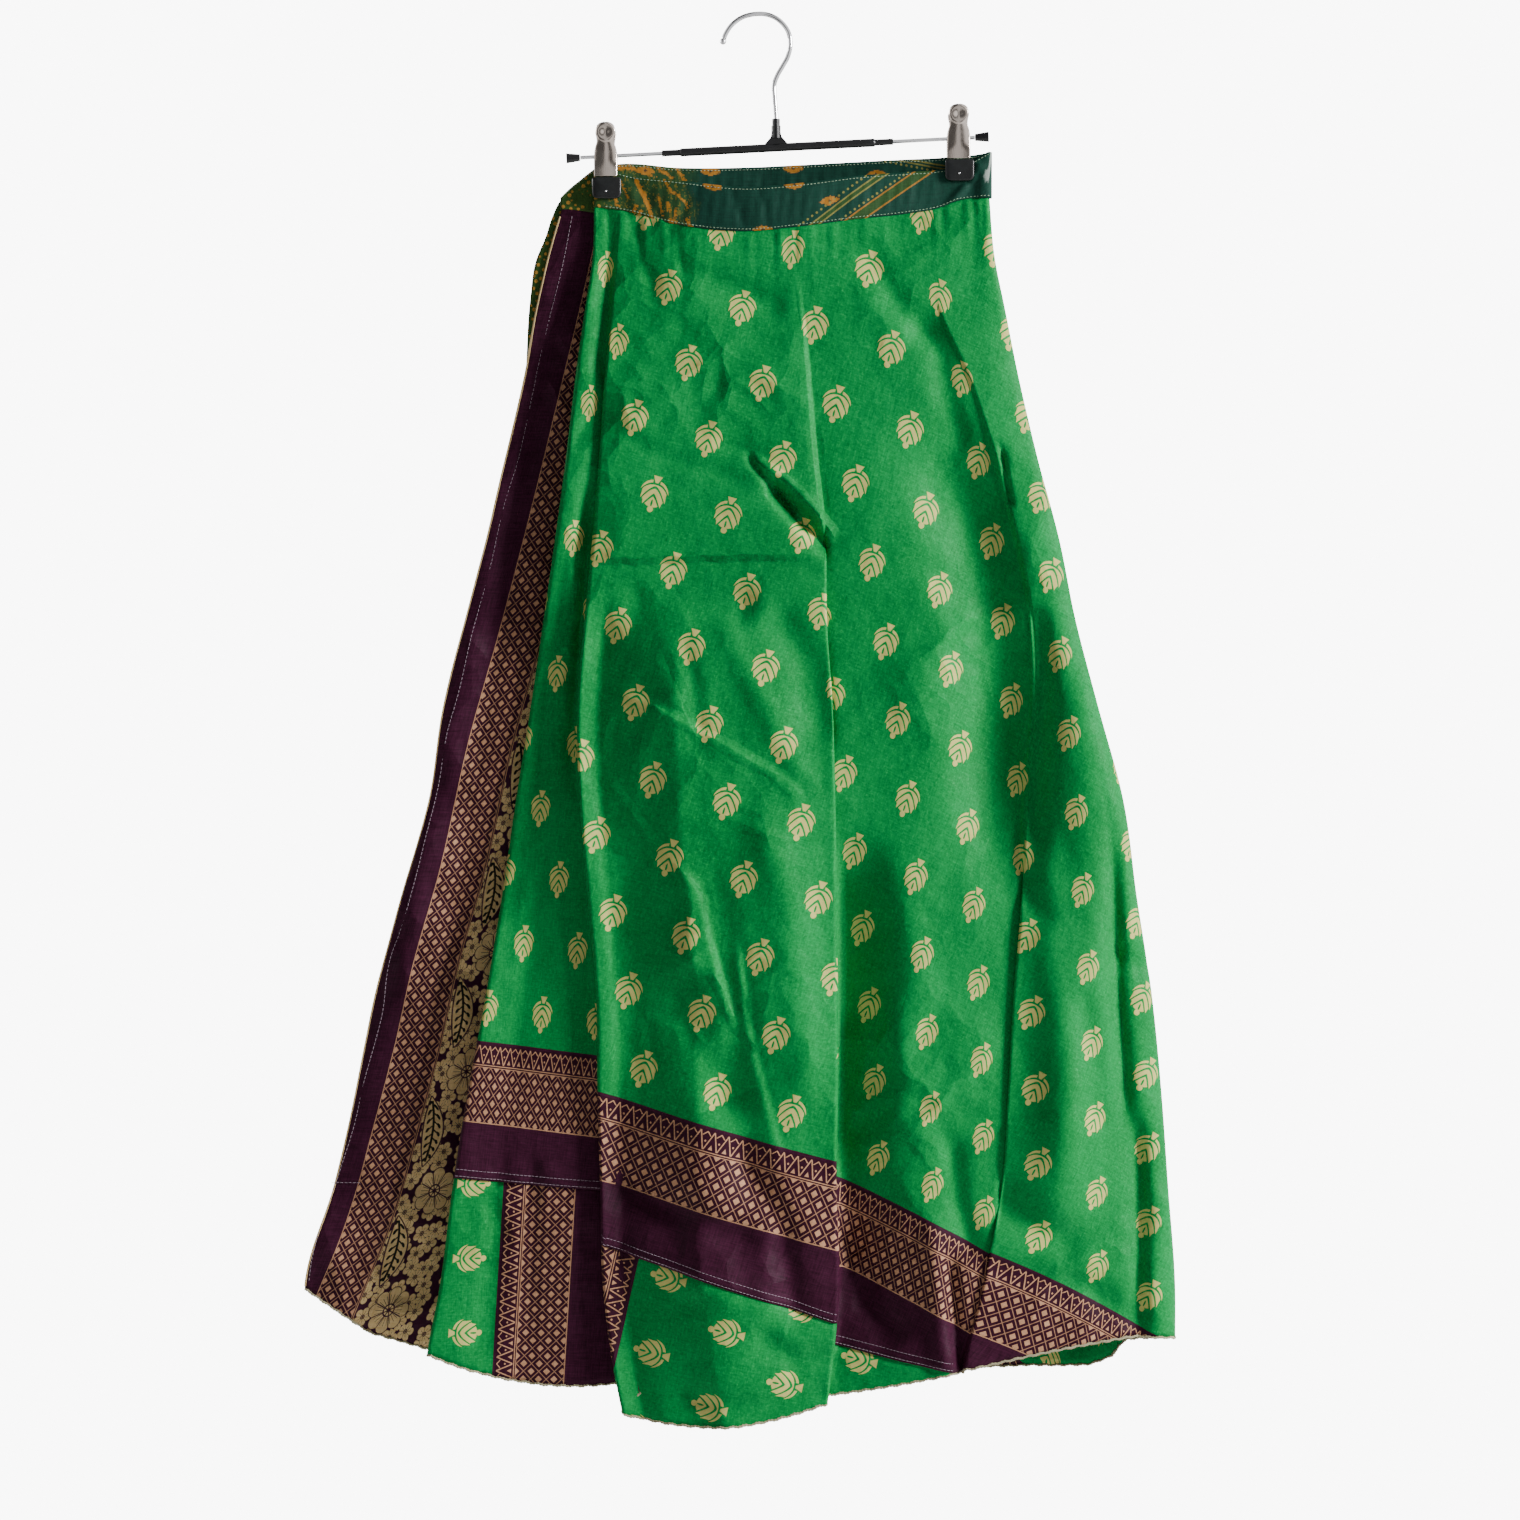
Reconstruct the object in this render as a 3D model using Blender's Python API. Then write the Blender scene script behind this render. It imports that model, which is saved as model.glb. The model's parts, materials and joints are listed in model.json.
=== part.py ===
# A wrap skirt cut from one silk sari, hung by its folded waistband from a clip hanger.
# The skirt hangs as two layers: the front one is pleated, the back one ends in the wrap edge at the left.
# X runs to the right, Y to the back and Z up. The origin is where the hook's inner top rests on a rail.
# Sizes are in millimetres. A depth is a distance down from the origin.

import math

import bmesh
import bpy
import numpy as np
from mathutils import Matrix, Vector

MM = 0.001

CLOTH_WALL = 1.2
BAND_WALL = 1.6
SEAM_GAP = 0.3
BAND_SEAM_GAP = 0.6  # where the gathered top of a panel meets the waistband
BAND_HEIGHT = 33.0
BAR_TILT = math.radians(2.93)
BAR_CENTRE_X = 12.7
BAR_CENTRE_DEPTH = 95.3
BAR_HALF_LENGTH = 143.3
BAR_RADIUS = 1.4
CLIP_X = {"left": -112.0, "right": 144.0}
CLIP_PINCH = {"left": 3.7, "right": 2.5}  # from the clip's middle to a pad's inner face

# The outline from the front and the lines of the folds: how far right each lies at a depth.
# wrap is the free wrap edge, left the front's left fold, then the pleats b, c and e, the crease f and the right side.
LINE_COLUMNS = ("depth", "wrap", "left", "b", "c", "e", "f", "right")
LINES = (
    (130, -141, -120, -103, 22, 120, 157, 166),
    (175, -154, -121, -105, 26, 123, 160, 170),
    (210, -162, -126, -108, 30, 129, 164, 177),
    (260, -171, -133, -112, 35, 150, 171, 187),
    (320, -185, -140, -116, 40, 170, 179, 201),
    (380, -199, -148, -121, 47, 186, 200, 217),
    (440, -215, -157, -127, 48, 197, 218, 229),
    (500, -230, -166, -132, 52, 198, 233, 244),
    (570, -241, -177, -130, 54, 192, 250, 263),
    (640, -261, -187, -124, 55, 189, 256, 273),
    (710, -280, -198, -118, 56, 183, 260, 284),
    (780, -294, -211, -117, 56, 179, 264, 291),
    (850, -310, -222, -115, 55, 174, 270, 296),
    (920, -331, -231, -113, 57, 160, 273, 301),
    (975, -331, -241, -106, 52, 147, 274, 301),
    (1020, -330, -244, -97, 46, 145, 274, 301),
)

# The waistband seen from the front and from above, at stations from left to right.
BAND_COLUMNS = ("x", "front_y", "back_y", "front_top", "front_bottom", "back_top")
BAND = (
    (-119, -2.6, 2.4, 108.0, 139.0, 109.4),
    (-100, -2.7, 2.6, 114.5, 141.4, 106.8),
    (-60, -7.5, 5.5, 120.0, 152.0, 109.2),
    (-10, -12.0, 8.0, 125.4, 157.3, 108.7),
    (30, -12.0, 8.0, 122.5, 153.7, 106.9),
    (70, -8.5, 6.0, 117.0, 148.2, 105.0),
    (105, -3.6, 3.0, 113.8, 143.9, 103.6),
    (131, -1.4, 1.4, 111.6, 139.0, 102.6),
    (144, -1.4, 1.4, 109.0, 133.8, 101.4),
    (155, -1.4, 1.4, 105.0, 132.3, 100.7),
    (164, -2.8, 2.8, 99.5, 132.0, 98.9),
)
BAND_END = ((-145.0, 131.5), (-138.0, 124.5), (-127.0, 115.5))  # x and top, where it droops past the clip
BAND_TURN_X = 168.5  # the outside of the band's fold at the right
BAND_FOLD_X = -120.5  # the outside of its fold at the left clip
INNER_BAND_LENGTH = 62.0  # the stretch that turns in behind the front, to the inner wrap edge

# The bottom edges of the front's panels: depths at the left, middle and right of each.
SELVEDGE = {"B": (842, 848, 852), "C": (891, 918, 945), "D": (957, 970, 981)}
HEM = {
    "B": (970, 991, 986),
    "C": (1012, 1019, 1004),
    "D": (1000, 992, 981),
    "E": (978, 966, 957),
    "F": (957, 958, 959),
}
BACK_HEM = (
    (-331, 925),
    (-284, 957),
    (-243, 970),
    (-190, 978),
    (-150, 992),
    (-120, 985),
    (0, 978),
    (100, 979),
    (160, 983),
    (240, 981),
    (256, 975),
    (266, 962),
    (301, 959),
)

# How each pleat opens on its way down: the step between its layers, from 0 to 1, and how far they overlap.
PLEAT_COLUMNS = ("depth", "step", "overlap")
PLEATS = {
    "b": ((139, 0, 0), (200, 0.3, 0), (250, 1, 1), (280, 1, 5), (500, 1, 14), (985, 1, 24)),
    "c": ((200, 0, 0), (330, 0.5, 0), (385, 1, 1), (400, 1, 6), (600, 1, 15), (1010, 1, 22)),
    "e": ((200, 0, 0), (330, 0.5, 0), (560, 0.8, 0), (610, 1, 0), (700, 1, 9), (800, 1, 14),
          (870, 1, 5), (920, 1, 0), (980, 0.5, 0)),
}
PLEAT_RADIUS = 1.75
PLEAT_ARC = np.radians((0, 60, 120, 180))
PLEAT_SHARE = (0.0, 0.06, 0.12, 0.18, 0.82, 0.88, 0.94, 1.0)  # how far across the pleat each point lies
PLEAT_SPREAD = np.array((-2.4, -1.5, -0.8, -0.25, 0.25, 0.8, 1.5, 2.4))

FRONT_DEPTH = 33.0  # how far the front stands out from the middle plane at the hem
BACK_DEPTH = 27.0
UNDERLAP_TOP = 60.0
UNDERLAP_HEM = 110.0
SIDE_SEAM = -0.6  # the back's side seam, as a share of the way from the crease f to the outline
WRAP_PANEL_UNDER = 48.0  # how far the wrap-edge panel runs on behind the front's left fold

# The tie that hangs behind the wrap edge: its left and right edges at a depth.
TIE_COLUMNS = ("depth", "left", "right")
TIE = (
    (122, -134, -123.5),
    (133, -145, -123.5),
    (145, -151, -124),
    (160, -156, -126),
    (177, -163, -133),
    (204, -167, -138),
    (249, -170, -142),
    (350, -172, -144),
    (480, -174, -145),
    (620, -173, -144),
    (760, -175, -146),
)
INNER_TIE_LENGTH = 560.0
INNER_TIE_WIDTH = 28.0

# The hook's middle line, from its foot in the neck to its tip.
HOOK_LINE = (
    (11.6, 87.0),
    (11.6, 74.6),
    (10.4, 58.0),
    (10.2, 50.0),
    (12.6, 43.0),
    (16.6, 36.0),
    (20.3, 29.0),
    (22.0, 20.0),
    (20.2, 10.6),
    (13.8, 2.8),
    (5.4, -1.2),
    (-4.0, -1.6),
    (-13.0, 0.8),
    (-20.2, 6.0),
    (-24.8, 12.6),
    (-27.2, 19.4),
)
HOOK_RADIUS = 1.75
NECK_TOP = 74.6

# One jaw of a clip, as rows down from its thumb dish: distance below the bar, half width, distance from the middle.
JAW = (
    (-23.5, 1.8, 9.6),
    (-22.4, 4.4, 9.6),
    (-20.0, 6.4, 9.5),
    (-16.5, 7.1, 9.3),
    (-13.0, 6.5, 8.6),
    (-9.8, 6.3, 7.6),
    (-6.0, 7.4, 6.4),
    (-2.0, 8.1, 5.5),
    (4.0, 8.3, 5.2),
    (9.0, 8.3, 5.1),
    (15.0, 8.3, 5.1),
)
JAW_WALL = 1.0
JAW_CROWN = 1.2
PAD_SIZE = (21.0, 3.2, 15.6)
SPRING_RADIUS = 3.6
SPRING_LENGTH = 12.0

# Colours as linear values, with roughness and metallic.
FINISHES = {
    "green silk": ((0.0, 0.33, 0.09), 0.42, 0.0),
    "plum silk": ((0.07, 0.02, 0.05), 0.45, 0.0),
    "printed band cotton": ((0.017, 0.06, 0.04), 0.7, 0.0),
    "chromed steel": ((0.78, 0.78, 0.8), 0.12, 1.0),
    "black plastic": ((0.012, 0.012, 0.013), 0.35, 0.0),
    "black rubber": ((0.009, 0.009, 0.01), 0.6, 0.0),
}


for old in list(bpy.data.objects):
    bpy.data.objects.remove(old, do_unlink=True)


def finish(name):
    """The Principled material of a finish, made once."""
    if name in bpy.data.materials:
        return bpy.data.materials[name]
    colour, roughness, metallic = FINISHES[name]
    material = bpy.data.materials.new(name)
    material.use_nodes = True
    shader = material.node_tree.nodes["Principled BSDF"]
    shader.inputs["Base Color"].default_value = (*colour, 1.0)
    shader.inputs["Roughness"].default_value = roughness
    shader.inputs["Metallic"].default_value = metallic
    return material


def add_object(name, data, finish_name):
    """Links an object that holds this mesh or curve."""
    thing = bpy.data.objects.new(name, data)
    bpy.context.collection.objects.link(thing)
    data.materials.append(finish(finish_name))
    return thing


def read(table, columns, column, at):
    """A column of a table, read between its rows along a smooth curve through them."""
    rows = np.array(table, float)
    known = rows[:, 0]
    values = rows[:, columns.index(column)]
    slopes = np.gradient(values, known)
    at = np.clip(at, known[0], known[-1])
    k = np.clip(np.searchsorted(known, at) - 1, 0, len(known) - 2)
    width = known[k + 1] - known[k]
    t = (at - known[k]) / width
    start = values[k] * (1 + 2 * t) * (1 - t) ** 2 + slopes[k] * width * t * (1 - t) ** 2
    end = values[k + 1] * t * t * (3 - 2 * t) - slopes[k + 1] * width * t * t * (1 - t)
    return start + end


def between(table, columns, column, at):
    """A column of a table, read along straight lines between its rows."""
    rows = np.array(table, float)
    return np.interp(at, rows[:, 0], rows[:, columns.index(column)])


def line(name, depth):
    return read(LINES, LINE_COLUMNS, name, depth)


def band(column, x):
    return read(BAND, BAND_COLUMNS, column, x)


def back_bottom(x):
    """The lower edge of the waistband's back stretch, which runs on past the clip at the left."""
    return band("back_top", x) + BAND_HEIGHT - 2.4 * np.clip((-119.0 - x) / 19.0, 0.0, 1.0)


def smooth(t):
    """An even step from 0 to 1."""
    t = np.clip(t, 0.0, 1.0)
    return t * t * (3.0 - 2.0 * t)


def through(values, share):
    """A curve through a left, a middle and a right value, at a share of the way across."""
    left, middle, right = values
    bulge = 4.0 * (middle - 0.5 * (left + right))
    return left + (right - left) * share + bulge * share * (1.0 - share)


def cloth(name, points, wall, finish_name):
    """A sheet through a grid of points (across, down, xyz in millimetres), given its wall on both sides alike."""
    across, down = points.shape[:2]
    number = np.arange(across * down).reshape(across, down)
    corners = (number[:-1, :-1], number[:-1, 1:], number[1:, 1:], number[1:, :-1])
    faces = np.stack([c.ravel() for c in corners], axis=1)
    mesh = bpy.data.meshes.new(name)
    mesh.from_pydata((points.reshape(-1, 3) * MM).tolist(), [], faces.tolist())
    mesh.shade_smooth()
    thing = add_object(name, mesh, finish_name)
    solidify = thing.modifiers.new("wall", "SOLIDIFY")
    solidify.thickness = wall * MM
    solidify.offset = 0.0
    solidify.use_even_offset = False
    return thing


def fullness(depth):
    """How far the skirt has opened out, from 0 at the waistband to 1 at the hem."""
    return np.clip((depth - 140.0) / 840.0, 0.0, 1.0) ** 0.6


def front_y(x, depth):
    """The front layer's place in depth, before its pleats: flat across, rounded at the right."""
    left = line("left", depth)
    right = line("right", depth)
    share = np.clip((x - left) / (right - left), 0.0, 1.0)
    swell = np.sqrt(1.0 - share**6) * (0.78 + 0.22 * smooth(share / 0.4))
    hung = -(6.0 + (FRONT_DEPTH - 6.0) * fullness(depth)) * swell
    ripple = 2.2 * fullness(depth) * np.sin(share * 19.0 + depth / 240.0) * (1.0 - share**6)
    settled = smooth((depth - 140.0) / 110.0)
    return (1.0 - settled) * band("front_y", x) * turn_share(x, depth) + settled * (hung + ripple)


def back_y(x, depth):
    """The back layer's place in depth, with soft upright waves that grow towards the hem."""
    left = line("wrap", depth)
    right = line("right", depth)
    share = np.clip((x - left) / (right - left), 0.0, 1.0)
    swell = np.sqrt(1.0 - share**6) * (0.4 + 0.6 * smooth(share / 0.3))
    hung = (5.0 + (BACK_DEPTH - 5.0) * fullness(depth)) * swell
    ripple = 3.4 * fullness(depth) * np.sin(share * 23.0 + 0.8 + depth / 300.0) * (1.0 - share**6)
    settled = smooth((depth - 140.0) / 110.0)
    return (1.0 - settled) * band("back_y", x) * turn_share(x, depth) + settled * (hung + ripple)


def turn_share(x, depth):
    """Brings the layers together in a round turn at the right side, close under the waistband."""
    right = line("right", depth)
    share = np.clip((x - (right - 5.0)) / 5.0, 0.0, 1.0)
    return np.sqrt(1.0 - share**2)


def pleat(name, depth):
    """The eight points of a pleat at a depth: x offsets from its edge and steps down, low layer first.

    The step opens first and then the layers slide over each other, so the cloth never meets itself.
    """
    step = between(PLEATS[name], PLEAT_COLUMNS, "step", depth)
    overlap = between(PLEATS[name], PLEAT_COLUMNS, "overlap", depth)
    r = PLEAT_RADIUS
    reach = max(overlap, 2.0 * r)
    low = reach - r + r * np.sin(PLEAT_ARC)
    high = r - r * np.sin(PLEAT_ARC)
    folded = np.concatenate((low, high))
    opened = PLEAT_SPREAD * r
    share = min(overlap / (2.0 * r), 1.0)
    offsets = (1.0 - share) * opened + share * folded
    heights = np.concatenate((3.0 * r + r * np.cos(PLEAT_ARC), r + r * np.cos(PLEAT_ARC)))
    return offsets, heights * step


def pleat_step(name, depth):
    return 4.0 * PLEAT_RADIUS * between(PLEATS[name], PLEAT_COLUMNS, "step", depth)


def left_radius(depth):
    """Half the distance between the front's left edge and the underlap behind it."""
    return 1.3 + 1.4 * smooth((depth - 145.0) / 200.0)


# A station is one line of the sheet from top to bottom: the panel that it belongs to, its place across
# that panel, and a function that gives x and y at a depth.


def underlap_station(share):
    """The inner wrap edge, turned in behind the front's left fold; share 1 is its free edge."""

    def place(depth):
        r = left_radius(depth)
        width = UNDERLAP_TOP + (UNDERLAP_HEM - UNDERLAP_TOP) * (depth - 140.0) / 840.0
        x = line("left", depth) + r + share * width
        behind = pleat_step("b", depth) * smooth(share / 0.45) + 0.8 * smooth(share / 0.3) * smooth((depth - 145) / 90)
        return x, front_y(x, depth) + 2.0 * r + behind

    return "B", 0.12, place


def left_turn_station(angle):
    """The round fold at the front's left edge."""

    def place(depth):
        r = left_radius(depth)
        x = line("left", depth) + r
        y = front_y(x, depth) + r
        return x - r * math.sin(angle), y + r * math.cos(angle)

    return "B", 0.0, place


def panel_station(panel, share, left, right, low_left, low_right):
    """A line down a panel between two folds, which lies low beside a pleat that covers it."""

    def place(depth):
        start = left(depth)
        x = start + share * (right(depth) - start)
        low = low_left(depth) * (1.0 - share) ** 1.6 + low_right(depth) * share**1.6
        return x, front_y(x, depth) + low

    return panel, share, place


def pleat_station(name, number, side, panels):
    """One of a pleat's eight lines. Side 1 is a pleat whose upper layer lies to the right of its edge."""

    def place(depth):
        offsets, heights = pleat(name, depth)
        edge = line(name, depth)
        x = edge + side * offsets[number]
        return x, front_y(x, depth) + heights[number]

    low_panel, high_panel = panels
    return (low_panel, high_panel, PLEAT_SHARE[number], side), None, place


def pleat_end(name, side, low):
    """Where a panel meets a pleat, as a function of depth."""
    number = 0 if low else 7
    reach = 3.2 * PLEAT_RADIUS

    def x(depth):
        offsets, _ = pleat(name, depth)
        away = -reach if low else reach
        folded = between(PLEATS[name], PLEAT_COLUMNS, "overlap", depth) > 2.0 * PLEAT_RADIUS
        margin = away if not folded else away * 0.5
        return line(name, depth) + side * (offsets[number] + margin * 0.5)

    return x


def level(depth):
    return 0.0


def side_x(share, depth):
    """A place on the right side, from the crease f at 0 to the outline at 1."""
    return line("f", depth) + share * (line("right", depth) - line("f", depth))


def turn_station(share):
    """The right side, behind the outline, where the front has turned to the back."""

    def place(depth):
        x = side_x(share, depth)
        return x, back_y(x, depth)

    return "turn", 1.0, place


def crease_low(depth):
    return 5.0 * smooth((depth - 520.0) / 150.0)


def front_stations():
    """All lines of the front sheet, from the inner wrap edge to the back of the right turn."""
    stations = [underlap_station(s) for s in (1.0, 0.8, 0.6, 0.4, 0.2, 0.06)]
    stations += [left_turn_station(a) for a in np.radians((0, 60, 120, 180))]
    panels = (
        ("B", (0.14, 0.32, 0.52, 0.74, 1.0),
         lambda d: line("left", d) + left_radius(d), pleat_end("b", 1, True),
         level, lambda d: pleat_step("b", d)),
        ("C", (0.0, 0.12, 0.3, 0.5, 0.7, 0.88, 1.0),
         pleat_end("b", 1, False), pleat_end("c", -1, False), level, level),
        ("D", (0.0, 0.14, 0.35, 0.58, 0.8, 1.0),
         pleat_end("c", -1, True), pleat_end("e", 1, True),
         lambda d: pleat_step("c", d), lambda d: pleat_step("e", d)),
        ("E", (0.0, 0.25, 0.55, 0.85), pleat_end("e", 1, False), lambda d: line("f", d), level, crease_low),
    )
    pleats = {"B": ("b", 1, ("B", "C")), "C": ("c", -1, ("D", "C")), "D": ("e", 1, ("D", "E"))}
    for panel, shares, left, right, low_left, low_right in panels:
        stations += [panel_station(panel, s, left, right, low_left, low_right) for s in shares]
        if panel in pleats:
            name, side, sides = pleats[panel]
            order = range(8) if side > 0 else range(7, -1, -1)
            stations += [pleat_station(name, n, side, sides) for n in order]
    crease = (lambda d: line("f", d), lambda d: line("right", d), crease_low, level)
    stations += [panel_station("F", s, *crease) for s in (0.0, 0.3, 0.6, 0.82, 0.95, 1.0)]
    stations += [turn_station(s) for s in (0.95, 0.82, 0.55, 0.2, -0.2, SIDE_SEAM)]
    return stations


def edge_depth(table, panel, share):
    """A bottom edge's depth at a station; across a pleat it runs from the low panel's to the high panel's."""
    if isinstance(panel, tuple):
        low, high, part, side = panel
        from_low = through(table[low], 1.0 if side > 0 else 0.0) if low in table else None
        from_high = through(table[high], 0.0 if side > 0 else 1.0) if high in table else None
        if from_low is None or from_high is None:
            return None
        return from_low + (from_high - from_low) * part
    return through(table[panel], share) if panel in table else None


def meeting(place, edge, depth):
    """The depth at which a line of a sheet meets an edge that is given as a depth for each x."""
    for _ in range(4):
        depth = edge(place(depth)[0])
    return depth


def front_bottom(x):
    return band("front_bottom", x)


def back_hem(x):
    rows = np.array(BACK_HEM, float)
    return np.interp(x, rows[:, 0], rows[:, 1])


def rows_between(top, end):
    """Depths from a sheet's top to its end, closer together at the top."""
    return top + (end - top) * np.linspace(0.0, 1.0, 20) ** 1.15


def front_sheet():
    """The front panel down to its selvedge or hem, and the piece that lengthens it below the selvedge."""
    upper = []
    lower = []
    for panel, share, place in front_stations():
        turned_back = panel == "turn"
        top = meeting(place, back_bottom if turned_back else front_bottom, 140.0) + BAND_SEAM_GAP
        hem = meeting(place, back_hem, 960.0) if turned_back else edge_depth(HEM, panel, share)
        selvedge = edge_depth(SELVEDGE, panel, share)
        joined = selvedge is not None and hem - selvedge > 3.0
        end = selvedge if joined else hem
        upper.append([(*place(d), -d) for d in rows_between(top, end)])
        if joined:
            start = selvedge + SEAM_GAP * (4.0 if isinstance(panel, tuple) else 1.0)
            lower.append([(*place(d), -d) for d in np.linspace(start, hem, 5)])
    cloth("front_panel", np.array(upper, float), CLOTH_WALL, "green silk")
    cloth("front_lower_panel", np.array(lower, float), CLOTH_WALL, "green silk")


def back_sheet():
    """The back panel and, beyond an upright seam, the panel with the free wrap edge."""

    def wrap(depth):
        return line("wrap", depth)

    def seam(depth):
        return line("left", depth) + WRAP_PANEL_UNDER

    def side(depth):
        return side_x(SIDE_SEAM, depth)

    def grid(left, right, count, left_gap, right_gap):
        lines = []
        for share in np.linspace(0.0, 1.0, count):

            def place(depth, share=share):
                start = left(depth) + left_gap
                x = start + share * (right(depth) - right_gap - start)
                return x, back_y(x, depth)

            top = meeting(place, back_bottom, 140.0) + BAND_SEAM_GAP
            lines.append([(*place(d), -d) for d in rows_between(top, meeting(place, back_hem, 980.0))])
        return np.array(lines, float)

    cloth("wrap_edge_panel", grid(wrap, seam, 9, 0.0, 0.0), CLOTH_WALL, "plum silk")
    cloth("back_panel", grid(seam, side, 25, SEAM_GAP, SEAM_GAP), CLOTH_WALL, "green silk")


def waistband():
    """The folded waistband: a back stretch, a front stretch and the inner one, as one strip."""
    strip = []

    def add(x, y, top, bottom):
        strip.append([(x, y, -(top + (bottom - top) * k / 3.0)) for k in range(4)])

    for x, top in BAND_END:
        add(x, 2.4, top, back_bottom(x))
    back_x = (-119, -100, -80, -60, -35, -10, 10, 30, 50, 70, 88, 105, 118, 131, 144, 154, 162)
    for x in back_x:
        top = band("back_top", x)
        add(x, band("back_y", x), top, top + BAND_HEIGHT)
    turn_r = 3.0
    for angle in np.radians((60, 20, -20, -60)):
        add(BAND_TURN_X - 0.8 - turn_r + turn_r * math.cos(angle), turn_r * math.sin(angle), 98.8, 132.1)
    for x in reversed((-112, *back_x[1:])):
        add(x, band("front_y", x), band("front_top", x), band("front_bottom", x))
    fold_r = 1.3
    for angle in np.radians((0, 60, 120, 180)):
        x = BAND_FOLD_X + 0.5 * BAND_WALL + fold_r - fold_r * math.sin(angle)
        add(x, -fold_r * (1.0 + math.cos(angle)), 108.0, 139.0)
    for part in (0.1, 0.3, 0.5, 0.75, 1.0):
        x = -118.0 + part * INNER_BAND_LENGTH
        add(x, band("front_y", x) + 2.0 * fold_r, band("front_top", x), band("front_bottom", x))
    cloth("waistband", np.array(strip, float), BAND_WALL, "printed band cotton")


def ties():
    """The outer tie behind the wrap edge, and the inner one between the layers."""
    columns = []
    depths = np.concatenate((np.linspace(122, 260, 10), np.linspace(300, 760, 10)))
    for share in (0.0, 0.5, 1.0):
        column = []
        for d in depths:
            left = read(TIE, TIE_COLUMNS, "left", d)
            x = left + share * (read(TIE, TIE_COLUMNS, "right", d) - left)
            y = max(4.1, back_y(x, d) + CLOTH_WALL + 0.6) + 0.3 * math.sin(share * math.pi)
            column.append((x, y, -d))
        columns.append(column)
    cloth("tie_outer", np.array(columns, float), CLOTH_WALL, "printed band cotton")

    columns = []
    start = 124.0
    for share in (0.0, 0.5, 1.0):
        column = []
        for d in np.linspace(start, start + INNER_TIE_LENGTH, 14):
            x = -118.0 + INNER_BAND_LENGTH + SEAM_GAP + share * INNER_TIE_WIDTH
            y = (band("front_y", x) + 2.6) * (1.0 - smooth((d - start) / 150.0))
            column.append((x, y + 1.2 * math.sin(share * math.pi) * fullness(d), -d))
        columns.append(column)
    cloth("tie_inner", np.array(columns, float), CLOTH_WALL, "printed band cotton")


def bar_point(along, depth_offset=0.0):
    """A point on the tilted bar, at a distance along it from the neck."""
    x = BAR_CENTRE_X + along * math.cos(BAR_TILT)
    depth = BAR_CENTRE_DEPTH - along * math.sin(BAR_TILT) + depth_offset
    return Vector((x, 0.0, -depth)) * MM


def bar_depth(x):
    return BAR_CENTRE_DEPTH - (x - BAR_CENTRE_X) * math.tan(BAR_TILT)


def turned(name, profile, finish_name, place, sides=24):
    """A ring turned about its own Z axis from a closed profile of (radius, height) pairs, then laid along X."""
    bm = bmesh.new()
    rings = []
    for k in range(sides):
        angle = 2.0 * math.pi * k / sides
        turn = (math.cos(angle), math.sin(angle))
        rings.append([bm.verts.new((r * turn[0] * MM, r * turn[1] * MM, h * MM)) for r, h in profile])
    count = len(profile)
    for k in range(sides):
        here, after = rings[k], rings[(k + 1) % sides]
        for j in range(count):
            i = (j + 1) % count
            bm.faces.new((here[j], after[j], after[i], here[i]))
    bmesh.ops.recalc_face_normals(bm, faces=bm.faces)
    mesh = bpy.data.meshes.new(name)
    bm.to_mesh(mesh)
    bm.free()
    mesh.shade_smooth()
    mesh.set_sharp_from_angle(angle=math.radians(35))
    thing = add_object(name, mesh, finish_name)
    thing.matrix_world = place
    return thing


def along_bar(distance):
    """A place on the bar with its Z axis along it, towards the right."""
    tilt = Matrix.Rotation(-BAR_TILT, 4, "Y")
    return Matrix.Translation(bar_point(distance)) @ tilt @ Matrix.Rotation(math.pi / 2.0, 4, "Y")


def tube(name, points, radii, finish_name, resolution=4):
    """A round wire along points, with a radius for each."""
    curve = bpy.data.curves.new(name, "CURVE")
    curve.dimensions = "3D"
    curve.bevel_depth = max(radii) * MM
    curve.bevel_resolution = resolution
    curve.use_fill_caps = True
    spline = curve.splines.new("POLY")
    spline.points.add(len(points) - 1)
    for point, place, radius in zip(spline.points, points, radii):
        point.co = (*place, 1.0)
        point.radius = radius / max(radii)
    return add_object(name, curve, finish_name)


def smooth_line(points, steps):
    """A Catmull-Rom curve through points."""
    known = [Vector((x, 0.0, -d)) for x, d in points]
    known = [known[0] * 2 - known[1]] + known + [known[-1] * 2 - known[-2]]
    out = []
    for a, b, c, d in zip(known, known[1:], known[2:], known[3:]):
        for k in range(steps):
            t = k / steps
            part = b * 2 + (c - a) * t + (a * 2 - b * 5 + c * 4 - d) * t**2 + (b * 3 - a - c * 3 + d) * t**3
            out.append(part * 0.5 * MM)
    out.append(known[-2] * MM)
    return out


def hook():
    """The hook, a bent wire whose tip swells to a ball."""
    points = smooth_line(HOOK_LINE, 3)
    tip = len(points) - 1
    swell = {tip - 1: 2.3, tip: 1.5}
    return tube("hook", points, [swell.get(k, HOOK_RADIUS) for k in range(len(points))], "chromed steel")


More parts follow.
